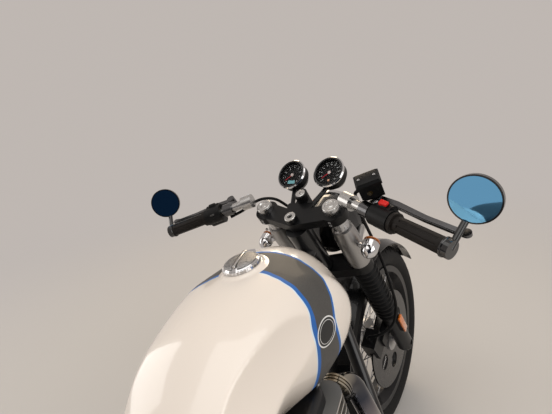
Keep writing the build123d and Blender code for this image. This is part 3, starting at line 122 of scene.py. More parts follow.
camera_data = bpy.data.cameras.new("camera")
camera_data.lens = LENS_MM
camera_data.sensor_width = SENSOR_MM
camera_data.clip_start = NEAREST_SEEN
camera = bpy.data.objects.new("camera", camera_data)
bpy.context.scene.collection.objects.link(camera)
camera.matrix_world = axes_matrix(*camera_axes(), machine(*CAMERA_SPOT))
bpy.context.scene.camera = camera
print("camera at", [round(v, 3) for v in camera.location])

# %% [markdown]
# ## Floor and light
#
# A glossy machine shows its surroundings, so the room matters as much as the paint. The floor is plain
# and pale. A wide soft light hangs overhead, a second one stands far to the left, a third fills in from
# the right, and a warm one glows beyond the front wheel. Far from the machine the floor turns into the
# background's own pale tone, so there is no edge where the floor ends. That tone is what the camera, the
# gloss and the glass see, and a calmer grey is what lights the machine. One soft dark patch behind the
# rider's right shoulder is there for the gloss alone: chrome needs something dark to show.

# %% Floor
FLOOR_TONE = (0.60, 0.565, 0.53)
BACKDROP_TONE = (0.52, 0.475, 0.445)
ROOM_GREY = (0.52, 0.51, 0.50)
DARK_SIDE = (0.012, 0.016, 0.024)
bpy.ops.mesh.primitive_plane_add(size=40.0, location=(0, 0, 0))
floor = bpy.context.object
floor.name = "floor"
bpy.context.scene.view_settings.view_transform = "Standard"
print("floor", floor.dimensions.x, "m wide")

# %% Lights
# Columns: name, place in the upright frame, what it points at, width, height, watts, colour
LAMPS = [
    ("overhead", (400, -500, 2900), (700, 0, 700), 3.0, 2.4, 24.0, (1.0, 0.985, 0.96)),
    ("left_side", (700, 3800, 2600), (700, 0, 800), 2.4, 2.4, 30.0, (1.0, 0.97, 0.93)),
    ("front_glow", (4200, 800, 2300), (1100, 0, 900), 2.0, 1.2, 34.0, (1.0, 0.80, 0.56)),
    ("right_fill", (-200, -3000, 1500), (700, 0, 650), 2.8, 2.2, 38.0, (1.0, 0.985, 0.965)),
]
for name, place, target, width, height, watts, colour in LAMPS:
    lamp_data = bpy.data.lights.new(name, "AREA")
    lamp_data.shape = "RECTANGLE"
    lamp_data.size = width
    lamp_data.size_y = height
    lamp_data.energy = watts
    lamp_data.color = colour
    lamp = bpy.data.objects.new(name, lamp_data)
    bpy.context.scene.collection.objects.link(lamp)
    spot = machine(*place)
    lamp.location = spot
    lamp.rotation_euler = (machine(*target) - spot).to_track_quat("-Z", "Y").to_euler()
print("lamps", len(LAMPS))

# %% [markdown]
# ## Writing shaders as sums
#
# A procedural finish is arithmetic on noise and on distances. Wiring every Math node by hand hides the
# formula, so a small class wraps a socket and lets Python's own operators add the nodes: 1 - mask * 0.3
# reads as it does on paper. One method adds any other kind of node.

# %% A socket that can be reckoned with


class Value:
    """A shader socket carrying a number, usable in Python expressions."""

    def __init__(self, board, socket):
        self.board = board
        self.socket = socket

    def maths(self, operation, *others):
        """A Math node with this value first."""
        return self.board.add("ShaderNodeMath", {"operation": operation}, (self, *others))

    def __add__(self, other):
        return self.maths("ADD", other)

    def __sub__(self, other):
        return self.maths("SUBTRACT", other)

    def __rsub__(self, other):
        return self.board.add("ShaderNodeMath", {"operation": "SUBTRACT"}, (other, self))

    def __mul__(self, other):
        return self.maths("MULTIPLY", other)

    def __truediv__(self, other):
        return self.maths("DIVIDE", other)

    def __abs__(self):
        return self.maths("ABSOLUTE")

    __radd__ = __add__
    __rmul__ = __mul__

    def least(self, other):
        return self.maths("MINIMUM", other)

    def most(self, other):
        return self.maths("MAXIMUM", other)

    def root(self):
        return self.maths("SQRT")

    def over(self, edge, soft):
        """0 below the edge and 1 above it, over a soft width."""
        settings = {"interpolation_type": "SMOOTHSTEP"}
        limits = {0: self, 1: edge - soft / 2, 2: edge + soft / 2}
        return self.board.add("ShaderNodeMapRange", settings, limits)

    def between(self, low, high, soft):
        """1 between two edges, 0 outside them."""
        return self.over(low, soft) * (1 - self.over(high, soft))


# %% A board of nodes


class Board:
    """One material and its nodes."""

    def __init__(self, name):
        self.material = bpy.data.materials.new(name)
        self.material.use_nodes = True
        self.tree = self.material.node_tree
        self.shader = self.tree.nodes["Principled BSDF"]

    def add(self, kind, settings=None, inputs=(), output=0):
        """Any node: its type, its settings, then the values or links of its sockets."""
        node = self.tree.nodes.new(kind)
        for key, value in (settings or {}).items():
            if key == "stops":
                self.set_stops(node, value)
            else:
                setattr(node, key, value)
        pairs = inputs.items() if isinstance(inputs, dict) else enumerate(inputs)
        for key, value in pairs:
            self.feed(node.inputs[key], value)
        return Value(self, node.outputs[output])

    def set_stops(self, node, stops):
        """Gives a ramp its stops, each a place and a tone."""
        ramp = node.color_ramp
        while len(ramp.elements) < len(stops):
            ramp.elements.new(0.5)
        for element, (place, tone) in zip(ramp.elements, stops):
            element.position = place
            element.color = (*tone, 1.0)

    def feed(self, socket, value):
        """Links or sets a socket. A tone is three numbers, and it is opaque."""
        if isinstance(value, Value):
            self.tree.links.new(value.socket, socket)
        elif socket.type == "RGBA":
            socket.default_value = (*value, 1.0)
        else:
            socket.default_value = value

    def place(self):
        """The point being shaded, in the room's metres."""
        return self.add("ShaderNodeTexCoord", {}, (), "Object")

    def vector(self, operation, *terms):
        """A number made of vectors, such as a length or a dot product."""
        return self.add("ShaderNodeVectorMath", {"operation": operation}, terms, "Value")

    def along(self, direction, start):
        """How far the point lies along a direction from a start, in millimetres."""
        offset = self.add("ShaderNodeVectorMath", {"operation": "SUBTRACT"}, (self.place(), tuple(start)))
        return self.vector("DOT_PRODUCT", offset, tuple(direction * 1000))

    def reach(self, *offsets):
        """The distance that several offsets at right angles add up to."""
        total = offsets[0] * offsets[0]
        for offset in offsets[1:]:
            total = total + offset * offset
        return total.root()

    def noise(self, scale, detail=2.0, roughness=0.5):
        """Soft noise from 0 to 1, its scale in cycles a metre."""
        inputs = {"Vector": self.place(), "Scale": scale, "Detail": detail, "Roughness": roughness}
        return self.add("ShaderNodeTexNoise", {}, inputs)

    def stray(self, scale, detail, amount):
        """Noise about nought, as wide as the amount."""
        return (self.noise(scale, detail) - 0.5) * amount

    def cells(self, feature, scale):
        """Distances in a pattern of cells, from their middles or their edges."""
        inputs = {"Vector": self.place(), "Scale": scale}
        return self.add("ShaderNodeTexVoronoi", {"feature": feature}, inputs, "Distance")

    def pyramids(self, across, scale):
        """Rows and columns of tiny pyramids, upright and across, as a lens is moulded."""
        rows, columns = [
            self.add("ShaderNodeTexWave", {"wave_profile": "TRI", "bands_direction": way},
                     {"Vector": self.place(), "Scale": scale}, "Fac") for way in ("Z", across)]
        return rows * columns

    def mix(self, share, first, second):
        """A colour part way between two."""
        settings = {"data_type": "RGBA", "clamp_factor": True}
        return self.add("ShaderNodeMix", settings, {0: share, 6: first, 7: second}, 2)

    def bump(self, height, strength, distance):
        """A relief for the Normal socket, its depth in metres."""
        inputs = {"Height": height, "Strength": strength, "Distance": distance}
        return self.add("ShaderNodeBump", {}, inputs)

    def set(self, **sockets):
        """Sets or links the shader's own sockets, named with underscores for spaces."""
        for key, value in sockets.items():
            self.feed(self.shader.inputs[key.replace("_", " ")], value)
        return self.material


print("shader helpers ready")

# %% [markdown]
# ## Finishes
#
# Each of these is one real finish. What differs over a surface (colour, roughness, the fine bump) comes
# from noise at the size that the real finish has: orange peel in paint is about a centimetre wide,
# the grain of a casting a millimetre, finger smears a few centimetres.

# %% Colours
CHROME_TONE = (0.70, 0.70, 0.71)
WARM_WHITE = (0.84, 0.745, 0.655)
BAND_GREY = (0.040, 0.037, 0.034)
BAND_FLAKE = (0.092, 0.086, 0.078)
LINE_BLUE = (0.012, 0.115, 0.40)
COVER_BLACK = (0.006, 0.006, 0.0065)


def toned(tone, factor, lift=0.0):
    """A tone made darker or paler, then lifted towards grey."""
    return tuple(min(channel * factor + lift, 1.0) for channel in tone)


print("tones ready")

# %% Metals


def metal(name, tone, roughness, grain_scale=900.0, grain_depth=0.02, smears=0.06, tint=0.06):
    """A bare metal: its tone and roughness drift with handling, and its skin has a fine grain."""
    board = Board(name)
    colour = board.mix(board.noise(9.0, 3.0), toned(tone, 1 - tint * 2), tone)
    rough = roughness + board.stray(22.0, 4.0, smears * 2)
    bump = board.bump(board.noise(grain_scale, 2.0), 0.35, grain_depth / 1000)
    return board.set(Base_Color=colour, Metallic=1.0, Roughness=rough, Normal=bump)


# %% Paints, plastics and rubber


def paint(name, tone, roughness=0.28, coat=1.0, peel=0.04, shine=0.5):
    """Sprayed and lacquered paint, with orange peel and a little dust."""
    board = Board(name)
    colour = board.mix(board.noise(6.0, 2.0), toned(tone, 0.94), tone)
    specks = board.noise(700.0, 3.0).over(0.72, 0.06) * 0.10
    colour = board.mix(specks, colour, toned(tone, 0.6, 0.03))
    peel_bump = board.bump(board.noise(95.0, 2.0), 0.10, peel / 1000)
    rough = roughness + board.stray(30.0, 4.0, 0.08)
    return board.set(Base_Color=colour, Roughness=rough, Coat_Weight=coat, Normal=peel_bump,
                     Coat_Roughness=0.035, Specular_IOR_Level=shine)


def plastic(name, tone, roughness=0.42, grain_scale=1300.0, depth=0.03):
    """Moulded plastic with a fine leathery grain and paler scuffs."""
    board = Board(name)
    scuffs = board.noise(60.0, 6.0, 0.7).over(0.62, 0.14)
    colour = board.mix(scuffs * 0.35, tone, toned(tone, 1.6, 0.004))
    rough = roughness + scuffs * 0.12 + board.stray(35.0, 3.0, 0.10)
    bump = board.bump(board.noise(grain_scale, 1.0), 0.4, depth / 1000)
    return board.set(Base_Color=colour, Roughness=rough, Normal=bump, Specular_IOR_Level=0.20)


def rubber(name, tone, roughness=0.62, bloom=0.10):
    """Rubber: nearly black, with a grey bloom where it has weathered."""
    board = Board(name)
    weather = board.noise(14.0, 5.0, 0.65)
    colour = board.mix(weather.over(0.5, 0.5), tone, toned(tone, 1.0, bloom * 0.35))
    rough = roughness + (weather - 0.5) * 0.18
    bump = board.bump(board.noise(1100.0, 3.0), 0.35, 0.00004)
    return board.set(Base_Color=colour, Roughness=rough, Normal=bump, Specular_IOR_Level=0.12)


def glass(name, tone, roughness=0.04, alpha=0.28, shine=0.6):
    """Clear lamp or dial glass, thin enough to treat as a see-through skin that only shines."""
    board = Board(name)
    rough = roughness + (board.noise(18.0, 4.0) - 0.4) * 0.05
    return board.set(Base_Color=tone, Roughness=rough, Alpha=alpha,
                     Coat_Weight=shine, Specular_IOR_Level=shine)


# %% One material for each slot of the record
finishes = {
    "tyre": rubber("tyre_rubber", (0.007, 0.007, 0.007), 0.72, 0.015),
    "rim": paint("rim_black", (0.006, 0.006, 0.007), 0.34, 0.2, shine=0.2),
    "spokes": metal("spoke_steel", (0.68, 0.68, 0.69), 0.22),
    "alloy": metal("blasted_alloy", (0.50, 0.50, 0.505), 0.42, 1400.0, 0.05),
    "polished_alloy": metal("polished_alloy", (0.72, 0.715, 0.70), 0.16, 500.0, 0.015),
    "cast_alloy": metal("cast_alloy", (0.58, 0.575, 0.565), 0.34, 1000.0, 0.06, 0.08),
    "black_alloy": paint("black_alloy", (0.006, 0.006, 0.0065), 0.42, 0.15, shine=0.2),
    "disc_steel": metal("disc_steel", (0.085, 0.085, 0.088), 0.28, 600.0, 0.03),
    "steel": metal("machined_steel", (0.60, 0.60, 0.605), 0.26, 500.0, 0.02),
    "chain_steel": metal("oiled_steel", (0.20, 0.185, 0.165), 0.36, 300.0, 0.06, 0.12, 0.15),
    "spring_steel": paint("spring_black", (0.007, 0.007, 0.0075), 0.30, 0.45, shine=0.3),
    "frame_black": paint("frame_black", (0.005, 0.005, 0.0055), 0.30, 0.45, shine=0.3),
    "chrome": metal("chrome", CHROME_TONE, 0.075, 60.0, 0.01, 0.03, 0.03),
    "tank_paint": paint("tank_white", WARM_WHITE, 0.30, 1.0),
    "seat_leather": plastic("seat_black", (0.016, 0.015, 0.015), 0.46, 260.0, 0.15),
    "black_gloss": paint("gloss_black", (0.004, 0.004, 0.0045), 0.18, 0.7, shine=0.4),
    "black_plastic": plastic("black_plastic", (0.005, 0.005, 0.0052), 0.38),
    "lamp_red": glass("lamp_red", (0.45, 0.012, 0.008), 0.10, 1.0),
    "yoke_black": paint("yoke_black", (0.004, 0.004, 0.0045), 0.38, 0.12, shine=0.2),
    "satin_alloy": metal("satin_alloy", (0.56, 0.555, 0.545), 0.25, 900.0, 0.03),
    "rubber": rubber("grip_rubber", (0.005, 0.005, 0.0053), 0.46, 0.012),
    "lamp_glass": glass("lamp_glass", (0.10, 0.11, 0.12), 0.05, 0.16),
    "mirror_blue": metal("mirror_blue", (0.22, 0.60, 1.0), 0.03, 40.0, 0.002, 0.01, 0.02),
}
slot_of = {row["node"]: row["material_slot"] for row in frame["record"]["subparts"]}
# Nodes that look unlike the rest of their slot
own_finishes = {
    # The levers' alloy gets a dark tone. This is a painted dark reflection on bright polished metal.
    "hand_levers": metal("lever_alloy_painted_dark_reflection", (0.15, 0.15, 0.155), 0.22, 900.0, 0.03),
    "grips": rubber("grip_compound", (0.012, 0.0095, 0.008), 0.40, 0.02),
    "fork_shrouds": metal("shroud_alloy", (0.44, 0.43, 0.42), 0.36, 1000.0, 0.05),
    "front_mudguard": paint("mudguard_black", (0.004, 0.004, 0.0045), 0.24, 0.3, shine=0.25),
}
for name, node in nodes.items():
    node.data.materials.clear()
    node.data.materials.append(own_finishes.get(name) or finishes[slot_of[name]])
print("finishes", len(finishes), "and", len(own_finishes))

# %% Floor finish
NEAR_FLOOR = 1.1
FAR_FLOOR = 3.4


def seen_directly(board):
    """1 for what the camera sees itself, in gloss or through glass."""
    rays = [board.add("ShaderNodeLightPath", {}, (), name)
            for name in ("Is Camera Ray", "Is Glossy Ray", "Is Transmission Ray")]
    return rays[0].most(rays[1]).most(rays[2])


board = Board("floor_tone")
board.set(Base_Color=board.mix(board.noise(1.6, 3.0), toned(FLOOR_TONE, 0.97), FLOOR_TONE), Roughness=0.75)
far = board.vector("LENGTH", board.place()).over((NEAR_FLOOR + FAR_FLOOR) / 2, FAR_FLOOR - NEAR_FLOOR)
glow = board.add("ShaderNodeEmission", {}, {"Color": BACKDROP_TONE, "Strength": 1.0})
lit = Value(board, board.shader.outputs[0])
blend = board.add("ShaderNodeMixShader", {}, {0: far * seen_directly(board), 1: lit, 2: glow})
board.tree.links.new(blend.socket, board.tree.nodes["Material Output"].inputs["Surface"])
floor.data.materials.append(board.material)
print("floor fades from", NEAR_FLOOR, "to", FAR_FLOOR, "m")

# %% Background
DARK_TOWARDS = (-0.94, -0.31, 0.14)
DARK_EDGE = 0.80
DARK_SOFT = 0.24


class RoomBoard(Board):
    """The world's own nodes, written in the same way."""

    def __init__(self, world):
        world.use_nodes = True
        self.tree = world.node_tree
        self.shader = self.tree.nodes["Background"]


world = bpy.data.worlds.new("room")
bpy.context.scene.world = world
room = RoomBoard(world)
facing = room.vector("DOT_PRODUCT", room.add("ShaderNodeTexCoord", {}, (), "Generated"), DARK_TOWARDS)
dark = room.add("ShaderNodeLightPath", {}, (), "Is Glossy Ray") * facing.over(DARK_EDGE, DARK_SOFT)
open_room = room.mix(seen_directly(room), ROOM_GREY, BACKDROP_TONE)
room.feed(room.shader.inputs["Color"], room.mix(dark, open_room, DARK_SIDE))
print("room made")

# %% [markdown]
# ## Modelling helpers
#
# Turned pieces (caps, dials, bolts) are made as on a lathe: a flat disc is raised step by step, each
# step scaled to the next radius. Blocks start as a cube that is sized and bevelled. Each finished piece
# is carried to its place inside its mesh, so its object stays at the origin, unturned and unscaled.

# %% Turned and block pieces
MM = 0.001


def select_only(*pieces):
    """Makes these pieces the whole selection, and the first one active."""
    bpy.ops.object.select_all(action="DESELECT")
    for piece in pieces:
        piece.select_set(True)
    bpy.context.view_layer.objects.active = pieces[0]


def start_piece(piece):
    """Opens one piece alone in edit mode, with all of its mesh selected."""
    select_only(piece)
    bpy.ops.object.mode_set(mode="EDIT")
    bpy.ops.mesh.select_all(action="SELECT")


def outward(piece):
    """Turns all faces of a piece in edit mode outwards, and leaves edit mode."""
    bpy.ops.mesh.select_all(action="SELECT")
    bpy.ops.mesh.normals_make_consistent(inside=False)
    bpy.ops.object.mode_set(mode="OBJECT")
    return piece


def turned(radius, steps, sides=48):
    """A turned solid: a disc raised in steps of (rise, next radius), in millimetres."""
    bpy.ops.mesh.primitive_circle_add(vertices=sides, radius=radius * MM, fill_type="NGON")
    piece = bpy.context.object
    start_piece(piece)
    now = radius
    for rise, after in steps:
        bpy.ops.mesh.extrude_region_move(TRANSFORM_OT_translate={"value": (0, 0, rise * MM)})
        bpy.ops.transform.resize(value=(after / now, after / now, 1))
        now = after
    return outward(piece)


def blocked(size, bevel=0.0, segments=2):
    """A block of a size in millimetres, its edges rounded."""
    bpy.ops.mesh.primitive_cube_add(size=MM)
    piece = bpy.context.object
    start_piece(piece)
    bpy.ops.transform.resize(value=size)
    if bevel:
        bpy.ops.mesh.bevel(offset=bevel * MM, segments=segments, affect="EDGES")
    bpy.ops.object.mode_set(mode="OBJECT")
    return piece


print("turned and block pieces ready")

# %% Places and copies


def shift(x, y, z):
    """A move in millimetres."""
    return Matrix.Translation(Vector((x, y, z)) * MM)


def placed(base, x, y, z, out=(0, 0, 1)):
    """A place in a frame, in millimetres, its z axis along a direction of that frame."""
    return base @ shift(x, y, z) @ Vector(out).to_track_quat("Z", "Y").to_matrix().to_4x4()


def copy_of(piece):
    """A copy with a mesh of its own."""
    twin = piece.copy()
    twin.data = piece.data.copy()
    bpy.context.scene.collection.objects.link(twin)
    return twin


def carried(piece, place):
    """Moves a piece to its place inside its mesh."""
    piece.data.transform(place)
    piece.data.update()
    return piece


def copies(piece, places):
    """A copy of one piece at each place, and the pattern itself removed."""
    made = [carried(copy_of(piece), place) for place in places]
    bpy.data.objects.remove(piece)
    return made


def joined(pieces):
    """Several pieces as one object."""
    select_only(*pieces)
    if len(pieces) > 1:
        bpy.ops.object.join()
    return pieces[0]


print("places and copies ready")

# %% Finishing a piece
BEVEL_FROM = radians(35)


def add_modifier(piece, kind, **settings):
    """Adds a modifier with its settings and applies it."""
    modifier = piece.modifiers.new(kind.title(), kind)
    for key, value in settings.items():
        setattr(modifier, key, value)
    select_only(piece)
    bpy.ops.object.modifier_apply(modifier=modifier.name)


def finished(piece, name, material, body, smooth=30.0, bevel=0.0):
    """Names a piece, rounds its edges, gives it its finish and the body that it rides on."""
    if bevel:
        add_modifier(piece, "BEVEL", width=bevel * MM, segments=2,
                     limit_method="ANGLE", angle_limit=BEVEL_FROM)
    select_only(piece)
    bpy.ops.object.shade_smooth_by_angle(angle=radians(smooth))
    piece.name = name
    piece.data.name = name
    piece.data.materials.clear()
    piece.data.materials.append(material)
    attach(piece, body)
    return piece


def on_steering(piece, place, name, material, bevel=0.0):
    """Carries a piece to its place on the part that turns with the bars, and finishes it."""
    return finished(carried(piece, place), name, material, "steering", bevel=bevel)


print("modelling helpers ready")

# %% [markdown]
# ## The tank
#
# The tank is one pressed and welded shell, so its knee recess meets the side in a soft crease, never a
# cut edge. A copy of the CAD solid is remeshed into even squares three millimetres wide and relaxed a
# few times, which rounds the crease as a press would. The band across the tank is paint: its two edges
# are curves of forward distance against the angle round the tank's middle, read off the photograph.

# %% Tank shell
WELD = 0.00002
TANK_GRID = 0.003


def welded_copy(node):
    """A copy of a CAD node, its loose triangles merged, still open in edit mode."""
    twin = copy_of(nodes[node])
    twin.parent = None
    start_piece(twin)
    bpy.ops.mesh.remove_doubles(threshold=WELD)
    bpy.ops.mesh.normals_make_consistent(inside=False)
    return twin


def tank_shell():
    """The tank's surface with its creases relaxed."""
    shell = welded_copy("fuel_tank")
    bpy.ops.object.mode_set(mode="OBJECT")
    add_modifier(shell, "REMESH", mode="VOXEL", voxel_size=TANK_GRID)
    add_modifier(shell, "SMOOTH", factor=0.5, iterations=8)
    return shell


print("weld within", WELD, "m")

# %% Band sizes
BAND_HEART = 780.0
BAND_SPAN = radians(120.0)
BAND_BACK = 770.0
BAND_DEPTH = 160.0
# Columns: angle from straight up in degrees, x of the front edge
FRONT_EDGE = [(0, 924), (24, 922), (38.5, 914), (49.3, 898), (58, 877), (67, 855), (79, 843), (111, 862)]
# Columns: angle from straight up in degrees, x of the rear edge
REAR_EDGE = [(0, 847), (14, 844), (26, 836), (36, 824), (46, 811), (58, 797), (74, 786), (117, 788)]
EDGE_SOFT = 0.7
LINE_LAP = -0.2
REAR_LINE = 8.0
FRONT_LINE = 6.0
PIN_LINE = (-2.2, -0.4)
PIN_TONE = (0.62, 0.78, 0.90)
CAP_SPOT = (862.0, 0.0)
CAP_CLEAR = 49.0
ROUNDEL_SPOT = (816.0, -144.0, 815.0)
ROUNDEL_HEART = 24.0
ROUNDEL_BLACK = (0.010, 0.010, 0.010)
# Columns: inner radius, outer radius, softness
ROUNDEL_RINGS = [(23.4, 25.8, 0.6), (19.0, 19.9, 0.5)]
RING_TONE = (0.72, 0.71, 0.69)
print("band", len(FRONT_EDGE), "and", len(REAR_EDGE), "edge points")

# %% Band paint


def edge_curve(board, angle, table):
    """The forward place of a band edge at an angle round the tank, in millimetres."""
    stops = [(radians(round_tank) / BAND_SPAN, ((x - BAND_BACK) / BAND_DEPTH,) * 3)
             for round_tank, x in table]
    ramp = board.add("ShaderNodeValToRGB", {"stops": stops}, (angle / BAND_SPAN,))
    ramp.socket.node.color_ramp.interpolation = "CARDINAL"
    return board.add("ShaderNodeRGBToBW", {}, (ramp,)) * BAND_DEPTH + BAND_BACK


def band_masks(board):
    """Where the band, its blue edges, the pale pin lines, the roundel's rings and its heart are."""
    x, y, z = [board.along(way, origin) for way in (forward, left, upright)]
    angle = abs(abs(y).maths("ARCTAN2", z - BAND_HEART))
    ahead = edge_curve(board, angle, FRONT_EDGE) - x
    behind = x - edge_curve(board, angle, REAR_EDGE)
    from_cap = board.reach(x - CAP_SPOT[0], y) - CAP_CLEAR
    off_cap = from_cap.over(0.0, EDGE_SOFT)
    band = ahead.least(behind).least(from_cap).over(0.0, EDGE_SOFT)
    rear_line = behind.between(LINE_LAP, REAR_LINE, EDGE_SOFT) * ahead.over(0.0, EDGE_SOFT) * off_cap
    front_line = ahead.between(LINE_LAP, FRONT_LINE, EDGE_SOFT) * behind.over(0.0, EDGE_SOFT)
    pin = ahead.between(*PIN_LINE, EDGE_SOFT).most(behind.between(*PIN_LINE, EDGE_SOFT)) * off_cap
    from_heart = board.reach(x - ROUNDEL_SPOT[0], abs(y) + ROUNDEL_SPOT[1], z - ROUNDEL_SPOT[2])
    outer, inner = [from_heart.between(*ring) for ring in ROUNDEL_RINGS]
    heart = 1 - from_heart.over(ROUNDEL_HEART, 0.6)
    return band, rear_line.most(front_line), pin, outer.most(inner), heart


def tank_paint():
    """Warm white with a grey band, its edges lined in blue and pale, and a plain roundel."""
    board = Board("tank_banded_white")
    band, blue, pin, rings, heart = band_masks(board)
    white = board.mix(board.noise(6.0, 2.0), toned(WARM_WHITE, 0.97), WARM_WHITE)
    flake = board.noise(1400.0, 2.0).over(0.5, 0.5) * 0.6 + board.noise(45.0, 4.0) * 0.3
    grey = board.mix(heart, board.mix(flake, BAND_GREY, BAND_FLAKE), ROUNDEL_BLACK)
    colour = board.mix(band, board.mix(pin, white, PIN_TONE), grey)
    colour = board.mix(blue * band.over(0.3, 0.5), colour, LINE_BLUE)
    colour = board.mix(rings * band, colour, RING_TONE)
    rough = 0.24 + board.stray(30.0, 4.0, 0.08) + band * 0.34
    peel = board.bump(board.noise(95.0, 2.0), 0.08, 0.00004)
    return board.set(Base_Color=colour, Roughness=rough, Coat_Weight=1.0 - band * 0.94, Normal=peel,
                     Coat_Roughness=0.03)


shell = finished(tank_shell(), "tank_shell", tank_paint(), "chassis", 180.0)
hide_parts("fuel_tank")
print("tank faces", len(shell.data.polygons))

# %% [markdown]
# ## Dials
#
# Each dial is a black face with white figures under glass in a chrome ring. The ticks and figures are
# thin raised shapes, as if screen printed: small bars copied round the face and text turned to mesh.
# The left dial counts engine speed in thousands, the right one road speed in steps of twenty.

# %% Dial sizes
GAUGE_SIDE = 56.0
GAUGE_FORWARD = 139.0
GAUGE_HEIGHT = 24.0
GAUGE_TILT = radians(-20.0)
FACE_RADIUS = 34.6
PRINT_LEVEL = -7.3
LONG_TICK = (0.8, 3.4, 0.5)
LONG_REACH = 29.3
SHORT_TICK = (0.4, 1.8, 0.5)
SHORT_REACH = 30.1
FIGURE_REACH = 23.6
ONE_FIGURE = 5.6
MORE_FIGURES = 3.8
START_ANGLE = radians(-135.0)
SWEEP = radians(270.0)
NEEDLE_REST = radians(-128.0)
TICKS_A_FIGURE = 2


def gauge_place(side):
    """The frame of one dial: x to its right, y to its twelve o'clock, z out of its face."""
    out = Vector((sin(GAUGE_TILT), 0, cos(GAUGE_TILT)))
    up = Vector((cos(GAUGE_TILT), 0, -sin(GAUGE_TILT)))
    local = axes_matrix(up.cross(out), up, out, Vector())
    return bars_frame @ shift(GAUGE_FORWARD, side * GAUGE_SIDE, GAUGE_HEIGHT) @ local


def dial_point(angle, radius, level):
    """A place on the face, its angle clockwise from twelve o'clock."""
    return shift(sin(angle) * radius, cos(angle) * radius, level) @ Matrix.Rotation(-angle, 4, "Z")


print("dials at", [[round(v, 3) for v in gauge_place(side).translation] for side in (1, -1)])

# %% Inks and resins


def lacquer(name, tone, roughness, coat=0.0):
    """A small printed or moulded part, its tone and gloss uneven as ink and resin are."""
    board = Board(name)
    colour = board.mix(board.noise(240.0, 3.0), toned(tone, 0.88), tone)
    rough = roughness + board.stray(500.0, 2.0, 0.08)
    bump = board.bump(board.noise(2400.0, 1.0), 0.2, 0.00001)
    return board.set(Base_Color=colour, Roughness=rough, Coat_Weight=coat, Normal=bump)


dial_white = lacquer("dial_white", (0.90, 0.92, 0.92), 0.50)
dial_red = lacquer("dial_red", (0.64, 0.011, 0.032), 0.40)
dial_black = plastic("dial_black", (0.004, 0.004, 0.0045), 0.55, 900.0, 0.01)
dial_glass = glass("dial_glass", (0.012, 0.012, 0.013), 0.02, 0.08, 0.25)
hub_tone = lacquer("hub_tone", (0.74, 0.60, 0.56), 0.35)
display_teal = lacquer("display_teal", (0.21, 0.55, 0.60), 0.22, 0.7)
lamp_warm = lacquer("lamp_warm", (0.90, 0.45, 0.27), 0.22, 0.7)
print("inks ready")

# %% Dials


def text_piece(words, height, depth=0.15):
    """A short text as a thin mesh, centred."""
    bpy.ops.object.select_all(action="DESELECT")
    bpy.ops.object.text_add()
    text = bpy.context.object
    text.data.body = words
    text.data.size = height * MM
    text.data.align_x = "CENTER"
    text.data.align_y = "CENTER"
    text.data.extrude = depth * MM
    bpy.ops.object.convert(target="MESH")
    return bpy.context.object


def print_marks(figures):
    """The ticks and figures of one face, as one piece."""
    steps = (len(figures) - 1) * TICKS_A_FIGURE
    angles = [START_ANGLE + SWEEP * index / steps for index in range(steps + 1)]
    at_figures = angles[::TICKS_A_FIGURE]
    between = [angle for angle in angles if angle not in at_figures]
    marks = []
    for size, reach, places in ((LONG_TICK, LONG_REACH, at_figures), (SHORT_TICK, SHORT_REACH, between)):
        marks += copies(blocked(size), [dial_point(angle, reach, PRINT_LEVEL) for angle in places])
    for angle, words in zip(at_figures, figures):
        spot = shift(sin(angle) * FIGURE_REACH, cos(angle) * FIGURE_REACH, PRINT_LEVEL)
        marks.append(carried(text_piece(words, ONE_FIGURE if len(words) < 2 else MORE_FIGURES), spot))
    return joined(marks)


def dial(side, name, figures, window_size, window_tone):
    """One dial: face, marks, needle, hub, glass, and the small window below the hub."""
    face = turned(FACE_RADIUS, [(0.8, FACE_RADIUS), (0, 31.5), (-0.3, 31.0)], 64)
    marks = print_marks(figures)
    arm = carried(blocked((1.8, 29.0, 0.8), 0.3, 1), dial_point(NEEDLE_REST, 10.0, -4.6))
    pin = carried(turned(1.6, [(1.6, 1.6)], 16), shift(0, 0, -6.0))
    hub = turned(4.6, [(1.4, 4.4), (0.5, 3.6)], 32)
    cover = turned(FACE_RADIUS, [(0.9, FACE_RADIUS), (0.7, 26.0), (0.3, 10.0)], 64)
    parts = [
        (face, (0, 0, -8.0), "_face", dial_black, "black_plastic"),
        (marks, (0, 0, 0), "_figures", dial_white, "black_plastic"),
        (joined([arm, pin]), (0, 0, 0), "_needle", dial_red, "lamp_red"),
        (hub, (0, 0, -4.8), "_hub", hub_tone, "black_plastic"),
        (cover, (0, 0, -1.4), "_glass", dial_glass, "lamp_glass"),
        (blocked(window_size, 0.3, 1), (0, -19.5, -7.4), "_window", window_tone, "black_plastic"),
    ]
    for piece, spot, part, finish, slot in parts:
        on_steering(piece, gauge_place(side) @ shift(*spot), name + part, finish)


dial(1, "rev_dial", [str(n) for n in range(0, 9)], (22.0, 9.5, 0.7), display_teal)
dial(-1, "speed_dial", [str(n) for n in range(0, 201, 20)], (5.5, 5.5, 0.7), lamp_warm)
print("dials made")

# %% Bezels: a thin bright ring round a black one
BEZEL_STEP = 39.4


def bezel_finish():
    """Chrome outside one radius round either dial, black inside it."""
    board = Board("bezel_chrome")
    reaches = []
    for place in (gauge_place(-1), gauge_place(1)):
        across, up = [board.along(place.col[axis].to_3d(), place.translation) for axis in (0, 1)]
        reaches.append(board.reach(across, up))
    bright = reaches[0].least(reaches[1]).over(BEZEL_STEP, 0.5)
    rough = 0.34 - bright * 0.26 + board.stray(22.0, 4.0, 0.05)
    colour = board.mix(bright, COVER_BLACK, CHROME_TONE)
    return board.set(Base_Color=colour, Metallic=bright, Roughness=rough)


nodes["gauge_bezels"].data.materials[0] = bezel_finish()
print("bezels dressed")

# %% [markdown]
# ## Filler cap
#
# The cap is chromed: a notched rim to grip, a domed lid of two half discs with a fine engraved grain,
# and a lever lying in a slot across it. It all swings on the hinge at its front edge, so every piece
# rides on the lid's own body.

# %% Filler cap
LID_TOP = 938.3
LEVER_ANGLE = radians(8.0)
NOTCHES = 36
NOTCH_REACH = 35.2


